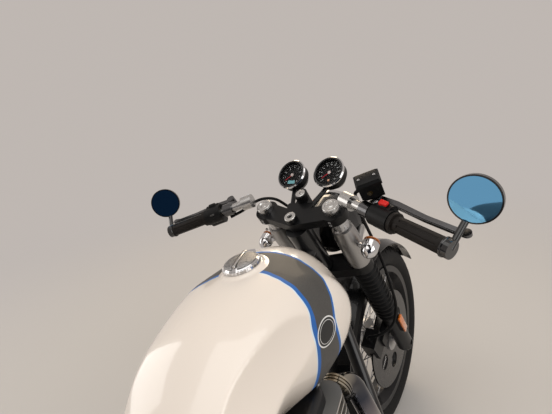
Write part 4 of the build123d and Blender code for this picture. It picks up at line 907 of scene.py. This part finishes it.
def lid_place(height, turn=0.0):
    """The frame of the lid at a height above the ground of the upright machine."""
    return machine_frame @ shift(*CAP_SPOT, height) @ Matrix.Rotation(turn, 4, "Z")


def engraved_finish():
    """Chrome with fine curls engraved all over, which break up what it mirrors."""
    board = Board("engraved_chrome")
    curls = board.cells("F1", 330.0) * 14 + board.noise(160.0, 2.0) * 6
    swirl = curls.maths("SINE") * 0.5 + 0.5
    colour = board.mix(swirl, (0.13, 0.13, 0.135), (0.50, 0.49, 0.48))
    bump = board.bump(swirl, 0.5, 0.0005)
    return board.set(Base_Color=colour, Metallic=1.0, Roughness=0.40 - swirl * 0.08, Normal=bump)


turns = [Matrix.Rotation(2 * pi * index / NOTCHES, 4, "Z") for index in range(NOTCHES)]
rim = joined(copies(blocked((3.0, 4.4, 6.0), 0.7, 1), [turn @ shift(NOTCH_REACH, 0, -9.6) for turn in turns]))
finished(carried(rim, lid_place(LID_TOP)), "cap_rim", finishes["chrome"], "filler_lid")

half_disc = turned(32.0, [(1.0, 32.0), (1.8, 29.5), (1.6, 25.0), (1.4, 18.0), (0.7, 10.0), (0.2, 4.0)], 64)
start_piece(half_disc)
bpy.ops.mesh.bisect(plane_co=(0, 5.2 * MM, 0), plane_no=(0, 1, 0), use_fill=True, clear_inner=True)
bpy.ops.object.mode_set(mode="OBJECT")
other_half = carried(copy_of(half_disc), Matrix.Rotation(pi, 4, "Z"))
cap_halves = carried(joined([half_disc, other_half]), lid_place(LID_TOP - 3.6, LEVER_ANGLE))
finished(cap_halves, "cap_halves", engraved_finish(), "filler_lid")

lever = blocked((60.0, 5.0, 5.0), 1.4, 3)
finger = carried(blocked((9.0, 10.0, 4.0), 1.2, 3), shift(25.0, 0, 0.4))
cap_lever = carried(joined([lever, finger]), lid_place(LID_TOP + 0.6, LEVER_ANGLE))
finished(cap_lever, "cap_lever", finishes["polished_alloy"], "filler_lid")
print("cap made, with", NOTCHES, "notches")

# %% [markdown]
# ## Yoke hardware
#
# Bright fork caps and the stem nut stand out of the black top yoke, each with a key recess. The lock's
# face shows a slotted key way. Socket screws clamp the yoke, the bars and the covers: one screw is
# modelled and copied to each place, its head along the direction that it is driven from.

# %% Caps, nut, lock and screws
FORK_OFFSET = 32.93
FORK_SIDE = 97.0
LOCK_AHEAD = 72.0

fork_cap = turned(19.6, [(3.0, 19.6), (1.0, 18.6), (0, 13.0), (-2.2, 12.4), (0, 7.4), (1.6, 7.0)], 48)
caps = copies(fork_cap, [placed(bars_frame, FORK_OFFSET, side * FORK_SIDE, 15.0) for side in (-1, 1)])
finished(joined(caps), "fork_caps", finishes["polished_alloy"], "steering", bevel=0.3)
stem_nut = turned(14.6, [(2.0, 14.6), (1.0, 13.6), (0, 6.6), (-3.0, 6.4)], 40)
on_steering(stem_nut, placed(bars_frame, 0, 0, 13.0), "stem_nut", finishes["polished_alloy"], 0.3)
lock_face = turned(12.5, [(0.8, 12.5), (0.5, 11.0), (0, 6.0), (0.8, 5.6)], 40)
lock_place = placed(bars_frame, LOCK_AHEAD, 0, 19)
on_steering(lock_face, lock_place, "lock_face", finishes["polished_alloy"])
key_way = blocked((7.0, 1.6, 0.6))
on_steering(key_way, lock_place @ shift(0, 0, 2.2), "key_way", dial_black)


def screw(head, rise):
    """A socket screw head."""
    return turned(head, [(rise, head), (0.4, head * 0.88), (0, head * 0.52), (-rise * 0.6, head * 0.5)], 24)


print("yoke hardware made")

# %% [markdown]
# ## Controls
#
# On the right bar a red stop switch rides on the black housing, and a box-shaped brake reservoir has a
# screwed lid and a round sight glass. The bar frame helps here: one function gives a place at a distance
# from the bar's end, so each control is placed along the bar as a mechanic would slide it on.

# %% Along the bar
BAR_END = Vector((-79, 367, 32))
BAR_INNER = Vector((42, 132, 28))
bar_axis = (BAR_END - BAR_INNER).normalized()
bar_ahead = Vector((bar_axis.y, -bar_axis.x, 0)).normalized()


def bar_place(side, distance, ahead, above):
    """A frame beside one bar: x outwards along the bar, y ahead of it, z up."""
    spot = BAR_END - bar_axis * distance + bar_ahead * ahead + Vector((0, 0, above))
    flip = Vector((1, side, 1))
    x_axis = Vector(bar_axis) * flip
    y_axis = Vector(bar_ahead) * flip
    z_axis = x_axis.cross(y_axis) * side
    return bars_frame @ axes_matrix(x_axis, z_axis.cross(x_axis), z_axis, Vector(spot * flip) * MM)


switch_red = plastic("switch_red", (0.60, 0.018, 0.014), 0.34, 900.0, 0.02)
button_grey = plastic("button_grey", (0.055, 0.052, 0.050), 0.34, 900.0, 0.02)
rocker = joined([
    blocked((19.0, 11.0, 6.0), 1.6, 3),
    carried(blocked((7.0, 11.5, 4.0), 1.2, 3), shift(-6.0, 0, 2.6)),
])
on_steering(rocker, bar_place(-1, 150, 14, 27.5), "stop_switch", switch_red)
button_place = bar_place(1, 150, -12.5, 13) @ Matrix.Rotation(radians(42), 4, "X")
horn_button = turned(8.0, [(3.4, 8.0), (1.2, 6.6), (0.4, 3.0)], 32)
on_steering(horn_button, button_place, "horn_button", button_grey)
print("controls made")

# %% Rings and screws on the bars
CLAMP_MIDDLE = (BAR_END - BAR_INNER).length - 15.0
CLAMP_RADIUS = 18.0
CLAMP_TILT = radians(30)


def clamp_seats():
    """The seats of two screws on each bar clamp, on its round top."""
    ahead = CLAMP_RADIUS * sin(CLAMP_TILT)
    above = CLAMP_RADIUS * cos(CLAMP_TILT) - 0.6
    tilt = Matrix.Rotation(-CLAMP_TILT, 4, "X")
    return [bar_place(side, CLAMP_MIDDLE + step, ahead, above) @ tilt
            for side in (-1, 1) for step in (-8.0, 8.0)]


def ring_seats():
    """Where the ring between each grip and its end cap sits."""
    return [bar_place(side, 15.0, 0, 0) @ Matrix.Rotation(radians(90), 4, "Y") for side in (-1, 1)]


clamp_screws = joined(copies(screw(3.6, 3.0), clamp_seats()))
finished(clamp_screws, "clamp_screws", finishes["steel"], "steering")
bar_end_rings = joined(copies(turned(17.4, [(1.2, 18.6), (2.6, 18.6), (1.2, 17.4)], 40), ring_seats()))
finished(bar_end_rings, "bar_end_rings", finishes["black_gloss"], "steering")
print("bar fittings made")

# %% Reservoir lid and sight glass
RESERVOIR = (48, -200, 56)
RESERVOIR_TURN = radians(27.0)
reservoir_frame = bars_frame @ shift(*RESERVOIR) @ Matrix.Rotation(RESERVOIR_TURN, 4, "Z")
lid_plate = carried(blocked((33.0, 43.0, 2.0), 0.8, 2), shift(0, 0, 26.4))
on_steering(lid_plate, reservoir_frame, "reservoir_lid", finishes["black_plastic"])
lid_screws = joined(copies(screw(2.8, 1.2), [shift(0, side * 16.0, 27.4) for side in (-1, 1)]))
on_steering(lid_screws, reservoir_frame, "reservoir_screws", finishes["steel"])
sight_tone = lacquer("sight_amber", (0.037, 0.025, 0.008), 0.12, 0.5)
sight = turned(5.5, [(1.2, 5.5), (0, 4.2), (-0.5, 4.2)], 28)
sight_place = reservoir_frame @ shift(-17.6, 4, 0) @ Matrix.Rotation(radians(-90), 4, "Y")
on_steering(sight, sight_place, "sight_glass", sight_tone)
print("reservoir dressed")

# %% [markdown]
# ## Reflectors, lenses and screws on the fork
#
# Each fork slider carries an amber reflector on its outer side: a moulded lens whose back is a grid of
# tiny pyramids. A wave in the bump gives that sparkle.

# %% Reflectors, lenses and fork screws
SLIDER_TOP = -465.3
INDICATOR_SPOT = (34.0, 155.0, -112.0)
# Columns: how far behind the fork's axis, how far outside it, height, head radius, rise
FORK_SCREWS = [(30.2, 0.0, -7.0, 3.2, 2.4), (30.2, 0.0, -16.0, 3.2, 2.4), (31.0, 6.0, -40.0, 4.0, 3.0)]


def lens_finish(name, tone, cell, roughness=0.10):
    """A moulded lens: a deep colour with a fine moulded grid under a clear skin."""
    board = Board(name)
    grid = board.pyramids("X", cell)
    bump = board.bump(grid, 0.5, 0.0004)
    colour = board.mix(grid, toned(tone, 0.5), tone)
    return board.set(Base_Color=colour, Roughness=roughness, Normal=bump, Coat_Weight=1.0)


amber = lens_finish("amber_lens", (1.0, 0.24, 0.012), 120.0)
indicator_amber = lens_finish("indicator_amber", (0.80, 0.22, 0.02), 160.0)
seats = [placed(bars_frame, FORK_OFFSET - 7, side * 132.0, SLIDER_TOP - 42) for side in (-1, 1)]
reflectors = joined(copies(blocked((21.0, 7.0, 76.0), 2.0, 3), seats))
finished(reflectors, "reflectors", amber, "steering")
fork_screws = []
for back, outside, level, head, rise in FORK_SCREWS:
    seats = [placed(bars_frame, FORK_OFFSET - back, side * (FORK_SIDE + outside), level, (-1, 0, 0))
             for side in (-1, 1)]
    fork_screws += copies(screw(head, rise), seats)
finished(joined(fork_screws), "fork_screws", finishes["steel"], "steering")
ahead, outside, level = INDICATOR_SPOT
seats = [placed(bars_frame, ahead, side * outside, level, (1, 0, 0)) for side in (-1, 1)]
indicator_lenses = joined(copies(turned(19.2, [(2.0, 19.2), (3.0, 15.0), (1.4, 8.0)], 40), seats))
finished(indicator_lenses, "indicator_lenses", indicator_amber, "steering")
print("fork dressed")

# %% [markdown]
# ## Lamps
#
# Behind the headlamp's glass sits a bright dish with a bulb at its heart, and the glass has upright flutes
# that spread the beam. The rear lamps are solids of one node, so their black bodies, the red tail lens and
# the two amber lenses are told apart by where a point lies.

# %% Headlamp dish and bulb
LAMP_SPOT = (140.0, 0.0, -162.0)
LAMP_OUT = (cos(RAKE), 0.0, -sin(RAKE))
DISH_STEPS = [(12.4, 74.0), (0, 72.5), (-3.0, 66.0), (-3.4, 54.0), (-2.4, 38.0), (-1.4, 20.0), (-0.2, 11.0)]
BULB_STEPS = [(3.0, 9.0), (0, 5.5), (9.0, 5.5), (2.4, 4.2), (0.8, 2.0)]
lamp_frame = placed(bars_frame, *LAMP_SPOT, LAMP_OUT)
dish_finish = metal("dish_mirror", (0.86, 0.86, 0.87), 0.10, 60.0, 0.01, 0.03, 0.02)
dish = turned(74.0, DISH_STEPS, 64)
on_steering(dish, lamp_frame @ shift(0, 0, 0.8), "headlamp_dish", dish_finish)
bulb = turned(9.0, BULB_STEPS, 32)
on_steering(bulb, lamp_frame @ shift(0, 0, 2.0), "headlamp_bulb", finishes["chrome"])


def fluted_glass():
    """Clear glass with upright flutes."""
    board = Board("fluted_glass")
    flutes = (board.along(bar_left, yoke_spot) * 0.9).maths("SINE") * 0.5 + 0.5
    bump = board.bump(flutes, 0.7, 0.0012)
    rough = 0.05 + (board.noise(18.0, 4.0) - 0.4) * 0.05
    return board.set(Base_Color=(0.72, 0.76, 0.80), Roughness=rough, Alpha=0.22,
                     Normal=bump, Coat_Weight=0.5)


nodes["headlamp_lens"].data.materials[0] = fluted_glass()
print("headlamp dressed")

# %% Rear lamp lenses
LAMP_SLOPE = radians(142.76)
GUARD_RADIUS = AXLE_HEIGHT + 30.0
TAIL_RISE = 67.45
SIGNAL_RISE = 52.0
TAIL_BODY = 24.0
SIGNAL_SIDE = 60.0


def rear_lamp_finish():
    """Black bodies ahead of two splits, a red lens in the middle and amber ones at the sides."""
    board = Board("rear_lenses")
    x = board.along(forward, origin)
    signal = abs(board.along(left, origin)).over(SIGNAL_SIDE, 0.5)
    tail_split = (GUARD_RADIUS + TAIL_RISE) * cos(LAMP_SLOPE) - TAIL_BODY
    signal_split = (GUARD_RADIUS + SIGNAL_RISE) * cos(LAMP_SLOPE)
    body = x.over(tail_split, 0.4) * (1 - signal) + x.over(signal_split, 0.4) * signal
    grid = board.pyramids("Y", 130.0)
    red = board.mix(grid, (0.20, 0.004, 0.004), (0.62, 0.014, 0.010))
    orange = board.mix(grid, (0.42, 0.10, 0.006), (0.90, 0.26, 0.02))
    colour = board.mix(body, board.mix(signal, red, orange), COVER_BLACK)
    bump = board.bump(grid * (1 - body), 0.5, 0.0004)
    return board.set(Base_Color=colour, Roughness=0.12 + body * 0.24,
                     Normal=bump, Coat_Weight=1 - body * 0.8)


nodes["rear_lamps"].data.materials[0] = rear_lamp_finish()
print("lamps dressed")

# %% [markdown]
# ## Tyres
#
# The tread is cut across the crown in slanted grooves that repeat round the wheel. A tyre is a section
# carried round the axle, so its mesh is a grid of section points by turns. The turns are slanted as the
# grooves are, which lets every groove wall lie on grid lines and stay crisp with few faces. A spin
# repeats one section unchanged, and this one differs from turn to turn, so the grid is written out in
# code. The finish paints shade into the grooves and mixes them towards near black.

# %% Tread sizes
RIM_SEAT = 229.0
RIM_FLANGE = 244.0
SLANT = 0.018
SHOULDER_DROP = 6.0
WALL = 12.0
CROWN_WALL = 14.0
BULGE = 1.5
# Columns: share of one repeat, whether the long groove and the short one are cut there
TREAD_TURNS = [(0.0, 0, 0), (0.09, 0, 0), (0.12, 1, 0), (0.26, 1, 0), (0.29, 0, 0), (0.45, 0, 0),
               (0.61, 0, 0), (0.64, 0, 1), (0.70, 0, 1), (0.73, 0, 0), (0.87, 0, 0)]
# Columns: share of the half width, depth of the middle line, the long groove and the short one there
TREAD_ROWS = [(0.0, 2.0, 0, 0), (0.026, 2.0, 0, 0), (0.045, 0, 0, 0), (0.12, 0, 0, 0), (0.15, 0, 2.2, 0),
              (0.30, 0, 2.2, 0), (0.44, 0, 2.2, 0), (0.47, 0, 2.2, 1.8), (0.65, 0, 2.2, 1.8),
              (0.83, 0, 2.2, 1.8), (0.87, 0, 0, 1.8), (0.93, 0, 0, 1.8), (0.96, 0, 0, 0), (1.0, 0, 0, 0)]
print("tread rows", len(TREAD_ROWS), "turns", len(TREAD_TURNS))

# %% Tyre mesh


def wheel_axes(axle):
    """Two directions square to an axle and to each other."""
    first = axle.orthogonal().normalized()
    return first, axle.cross(first)


def tyre_section(radius, half, crown, bead, long_cut, short_cut):
    """One half of the section as (radius, side) points: tread, side, bead and inner wall."""
    points = []
    for share, middle, long_depth, short_depth in TREAD_ROWS:
        cut = max(middle, long_depth * long_cut, short_depth * short_cut)
        side = share * half / crown
        points.append((radius - crown + (crown - cut) * sqrt(1 - side * side), (crown - cut) * side))
    shoulder = radius - crown + sqrt(crown * crown - half * half)
    for share in (0.25, 0.5, 0.75, 1.0):
        bulge = (half - BULGE - (half + bead) / 2) * 4 * share * (1 - share)
        points.append((shoulder + (RIM_FLANGE - shoulder) * share, half + (bead - half) * share + bulge))
    points += [(RIM_SEAT, bead), (RIM_SEAT, bead - WALL), (shoulder - SHOULDER_DROP, half - WALL)]
    return points + [(radius - CROWN_WALL, half / 3)]


def treaded_tyre(centre, axle, radius, half, crown, bead, repeats):
    """A tyre as a grid of section points by slanted turns, closed both ways round."""
    first, second = wheel_axes(axle)
    points = []
    for index in range(repeats):
        for share, long_cut, short_cut in TREAD_TURNS:
            section = tyre_section(radius, half, crown, bead, long_cut, short_cut)
            ring = section + [(reach, -side) for reach, side in reversed(section[1:])]
            for reach, side in ring:
                turn = 2 * pi * (index + share - min(abs(side), half) * SLANT) / repeats
                out = first * cos(turn) + second * sin(turn)
                points.append(centre + (out * reach + axle * side) * MM)
    count = len(ring)
    turns = repeats * len(TREAD_TURNS)
    faces = []
    for turn in range(turns):
        here, after = turn * count, (turn + 1) % turns * count
        for step in range(count):
            beside = (step + 1) % count
            faces.append((here + step, here + beside, after + beside, after + step))
    mesh = bpy.data.meshes.new("tyre")
    mesh.from_pydata(points, [], faces)
    piece = bpy.data.objects.new("tyre", mesh)
    bpy.context.scene.collection.objects.link(piece)
    start_piece(piece)
    return outward(piece)


# %% Tyre rubber
# Columns: first and last share of one repeat, then first and last share of the half width
LONG_GROOVE = (0.11, 0.27, 0.135, 0.85)
SHORT_GROOVE = (0.63, 0.71, 0.46, 0.95)
MIDDLE_GROOVE = 0.035


def tyre_finish(name, centre, axle, repeats, half_width):
    """Rubber with painted shade in its grooves and a grey bloom."""
    board = Board(name)
    wide = abs(board.along(axle, centre))
    first, second = wheel_axes(axle)
    turn = board.along(second, centre).maths("ARCTAN2", board.along(first, centre))
    share = (turn * (repeats / (2 * pi)) + wide * SLANT).maths("FRACT")
    groove = wide.between(-1.0, half_width * MIDDLE_GROOVE, 0.5)
    for start, end, low, high in (LONG_GROOVE, SHORT_GROOVE):
        across = wide.between(half_width * low, half_width * high, 1.0)
        groove = groove.most(share.between(start, end, 0.02) * across)
    weather = board.noise(16.0, 5.0, 0.65)
    colour = board.mix(weather, (0.006, 0.006, 0.0065), (0.013, 0.0125, 0.012))
    # Painted shade: the grooves are mixed towards near black, darker than any of the rubber.
    colour = board.mix(groove * 0.6, colour, (0.003, 0.003, 0.003))
    rough = 0.66 + (weather - 0.5) * 0.2
    bump = board.bump(board.noise(700.0, 2.0), 0.5, 0.00012)
    return board.set(Base_Color=colour, Roughness=rough, Normal=bump, Specular_IOR_Level=0.2)


# Columns: wheel, radius, half width, crown radius, half of the bead's width, repeats round the wheel
TYRES = [("front", 318.6, 50.0, 52.0, 36.0, 42), ("rear", 319.6, 65.0, 67.99, 48.5, 36)]
for wheel, radius, half, crown, bead, repeats in TYRES:
    centre = Vector(joints[wheel + "_wheel_spin"]["pos_m"])
    axle = Vector(joints[wheel + "_wheel_spin"]["axis"]).normalized()
    piece = treaded_tyre(centre, axle, radius, half, crown, bead, repeats)
    finish = tyre_finish(wheel + "_tread", centre, axle, repeats, half)
    finished(piece, wheel + "_treaded_tyre", finish, wheel + "_wheel", 35.0)
    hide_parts(wheel + "_tyre")
    print(wheel, "tyre faces", len(piece.data.polygons))

# %% [markdown]
# ## Seat
#
# A seat is foam under a stretched cover. The plain solid is remeshed, its base pinned, and its cover
# blown out a little with cloth pressure, so its top crowns and its edges round off. No point
# may move further than foam would let it. Seams and piping are cut from the finished cover.

# %% Cloth pressure
RAIL_RISE = 402.4
RAIL_RADIUS = 13.0
PART_GAP = 0.3
SEAT_BASE = AXLE_HEIGHT + RAIL_RISE + RAIL_RADIUS + PART_GAP
SEAT_GRID = 0.006
SEAT_HELD = 0.010
SEAT_CAP = 0.010


def seat_base(point):
    """How far a point of the seat lies above its base, in metres."""
    return (point - origin).dot(upright) - SEAT_BASE * MM


def swell(piece, pressure=4.0, frames=20):
    """Blows a closed cover out over its foam and caps how far each point moves."""
    start = [vertex.co.copy() for vertex in piece.data.vertices]
    base = [vertex.index for vertex in piece.data.vertices if seat_base(vertex.co) < SEAT_HELD]
    piece.vertex_groups.new(name="base").add(base, 1.0, "REPLACE")
    cloth = piece.modifiers.new("Cloth", "CLOTH")
    cloth.settings.use_pressure = True
    cloth.settings.uniform_pressure_force = pressure
    cloth.settings.vertex_group_mass = "base"
    cloth.settings.effector_weights.gravity = 0.0
    cloth.settings.quality = 6
    for step in range(1, frames + 1):
        bpy.context.scene.frame_set(step)
    select_only(piece)
    bpy.ops.object.modifier_apply(modifier="Cloth")
    bpy.context.scene.frame_set(1)
    for vertex, before in zip(piece.data.vertices, start):
        move = vertex.co - before
        if move.length > SEAT_CAP:
            vertex.co = before + move.normalized() * SEAT_CAP


# %% Seat cushion


def seat_cushion():
    """The seat's cover, crowned over its foam."""
    cushion = welded_copy("seat")
    bpy.ops.transform.shrink_fatten(value=-SEAT_GRID)
    bpy.ops.object.mode_set(mode="OBJECT")
    add_modifier(cushion, "REMESH", mode="VOXEL", voxel_size=SEAT_GRID)
    swell(cushion)
    add_modifier(cushion, "SMOOTH", factor=0.5, iterations=4)
    add_modifier(cushion, "SUBSURF", levels=1, render_levels=1)
    return cushion


def leather():
    """Grained black leathercloth with fine creases."""
    board = Board("seat_leather_grained")
    worn = board.noise(7.0, 3.0)
    colour = board.mix(worn, (0.014, 0.013, 0.013), (0.030, 0.028, 0.027))
    grain = board.cells("DISTANCE_TO_EDGE", 620.0).over(0.12, 0.2)
    creases = board.noise(28.0, 5.0, 0.7)
    bump = board.bump(grain * 0.6 + creases * 0.4, 0.5, 0.0005)
    rough = 0.48 + (worn - 0.5) * 0.14
    return board.set(Base_Color=colour, Roughness=rough, Normal=bump, Coat_Weight=0.15)


cushion = finished(seat_cushion(), "seat_cushion", leather(), "chassis", 180.0)
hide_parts("seat")
print("seat faces", len(cushion.data.polygons))

# %% Seat piping
PIPING_RISE = 26.0
PIPING_RADIUS = 2.2
SEAM_RADIUS = 1.6
SEAM_PLACES = (40.0, 150.0)


def piping(point, normal, radius, name):
    """A cord sewn into the cover where a plane cuts it: only the cut stays, as a round tube."""
    start_piece(copy_of(cushion))
    bpy.ops.mesh.bisect(plane_co=point, plane_no=normal, clear_inner=True, clear_outer=True)
    bpy.ops.object.mode_set(mode="OBJECT")
    bpy.ops.object.convert(target="CURVE")
    cord = bpy.context.object
    cord.data.bevel_depth = radius * MM
    cord.data.bevel_resolution = 2
    bpy.ops.object.convert(target="MESH")
    return finished(bpy.context.object, name, finishes["black_gloss"], "chassis", 60.0)


piping(machine(0, 0, SEAT_BASE + PIPING_RISE), upright, PIPING_RADIUS, "seat_piping")
for number, x in enumerate(SEAM_PLACES):
    piping(machine(x, 0, SEAT_BASE), forward, SEAM_RADIUS, "seat_seam_" + str(number + 1))
print("seat piped")

# %% [markdown]
# ## Engine castings and headers
#
# The head and the barrels are bare castings, but the rocker cover on top is blacked. Chromed headers
# take on straw and violet heat tint. A near black band below the port is a painted reflection of the dark floor,
# and gold at the port is a painted warm highlight. Lower down the chrome stays bright.

# %% Engine finishes
ROCKER_JOINT = 676.0
HEADER_TINT_LOW = 420.0
HEADER_TINT_SPAN = 250.0
# Straw and violet are heat tint. The near black stops are a painted reflection of the dark floor, and the gold
# stop by the port is a painted warm highlight.
# Columns: share of the span, tone
HEAT_AND_PAINTED_REFLECTION_TINTS = [(0.0, CHROME_TONE), (0.35, (0.48, 0.455, 0.42)), (0.55, (0.20, 0.185, 0.20)),
              (0.72, (0.055, 0.060, 0.080)), (0.88, (0.090, 0.090, 0.095)), (0.97, (0.50, 0.46, 0.38))]


def head_finish():
    """Bare casting below the rocker cover's joint, black paint above it."""
    board = Board("head_casting")
    cover = board.along(upright, origin).over(ROCKER_JOINT, 0.4)
    alloy = board.mix(board.noise(9.0, 3.0), (0.55, 0.535, 0.51), (0.68, 0.665, 0.64))
    colour = board.mix(cover, alloy, (0.008, 0.008, 0.0085))
    rough = 0.36 + board.stray(22.0, 4.0, 0.14)
    bump = board.bump(board.noise(1000.0, 2.0), 0.35, 0.00006)
    return board.set(Base_Color=colour, Metallic=1 - cover, Roughness=rough, Normal=bump)


def header_finish():
    """Chrome with heat tint, and a painted dark reflection and a painted gold highlight towards the port."""
    board = Board("chrome_heat_tint_and_painted_reflection")
    height = (board.along(upright, origin) - HEADER_TINT_LOW) / HEADER_TINT_SPAN + board.stray(14.0, 3.0, 0.12)
    # Painted reflection and highlight: the tone follows height along the pipe, not the direction the chrome faces.
    tint = board.add("ShaderNodeValToRGB", {"stops": HEAT_AND_PAINTED_REFLECTION_TINTS}, (height,))
    rough = 0.09 + board.stray(22.0, 4.0, 0.05)
    bump = board.bump(board.noise(60.0, 2.0), 0.3, 0.00001)
    return board.set(Base_Color=tint, Metallic=1.0, Roughness=rough, Normal=bump)


nodes["cylinder_head"].data.materials[0] = head_finish()
nodes["exhaust_headers"].data.materials[0] = header_finish()
print("engine dressed")

# %% [markdown]
# ## Engine screws
#
# The side covers and the rocker cover are held by rows of socket screws. Their places follow the cover
# outlines: round each end of the outline at an even spacing.

# %% Cover screws
COVER_ROWS = [
    # Columns: side, y of the cover's face, x of the arc's centre, z, radius, first and last angle, count
    (-1, 150.5, 790, 338, 68, -80, 80, 5),
    (-1, 150.5, 590, 338, 68, 100, 260, 5),
    (1, 146.5, 806, 340, 58, -70, 70, 4),
]
ROCKER_SCREWS_X = (726, 814)
ROCKER_SCREWS_Y = (-92, 0, 92)
ROCKER_TOP = 702.5
seats = []
for side, face_y, x, z, radius, first, last, count in COVER_ROWS:
    for index in range(count):
        angle = radians(first + (last - first) * index / (count - 1))
        spot = (x + radius * cos(angle), side * face_y, z + radius * sin(angle))
        seats.append(placed(machine_frame, *spot, (0, side, 0)))
top_seats = [placed(machine_frame, x, y, ROCKER_TOP) for x in ROCKER_SCREWS_X for y in ROCKER_SCREWS_Y]
engine_screws = joined(copies(screw(5.0, 4.5), seats) + copies(screw(5.0, 4.0), top_seats))
finished(engine_screws, "engine_screws", finishes["steel"], "chassis")
print("engine screws", len(seats) + len(top_seats))
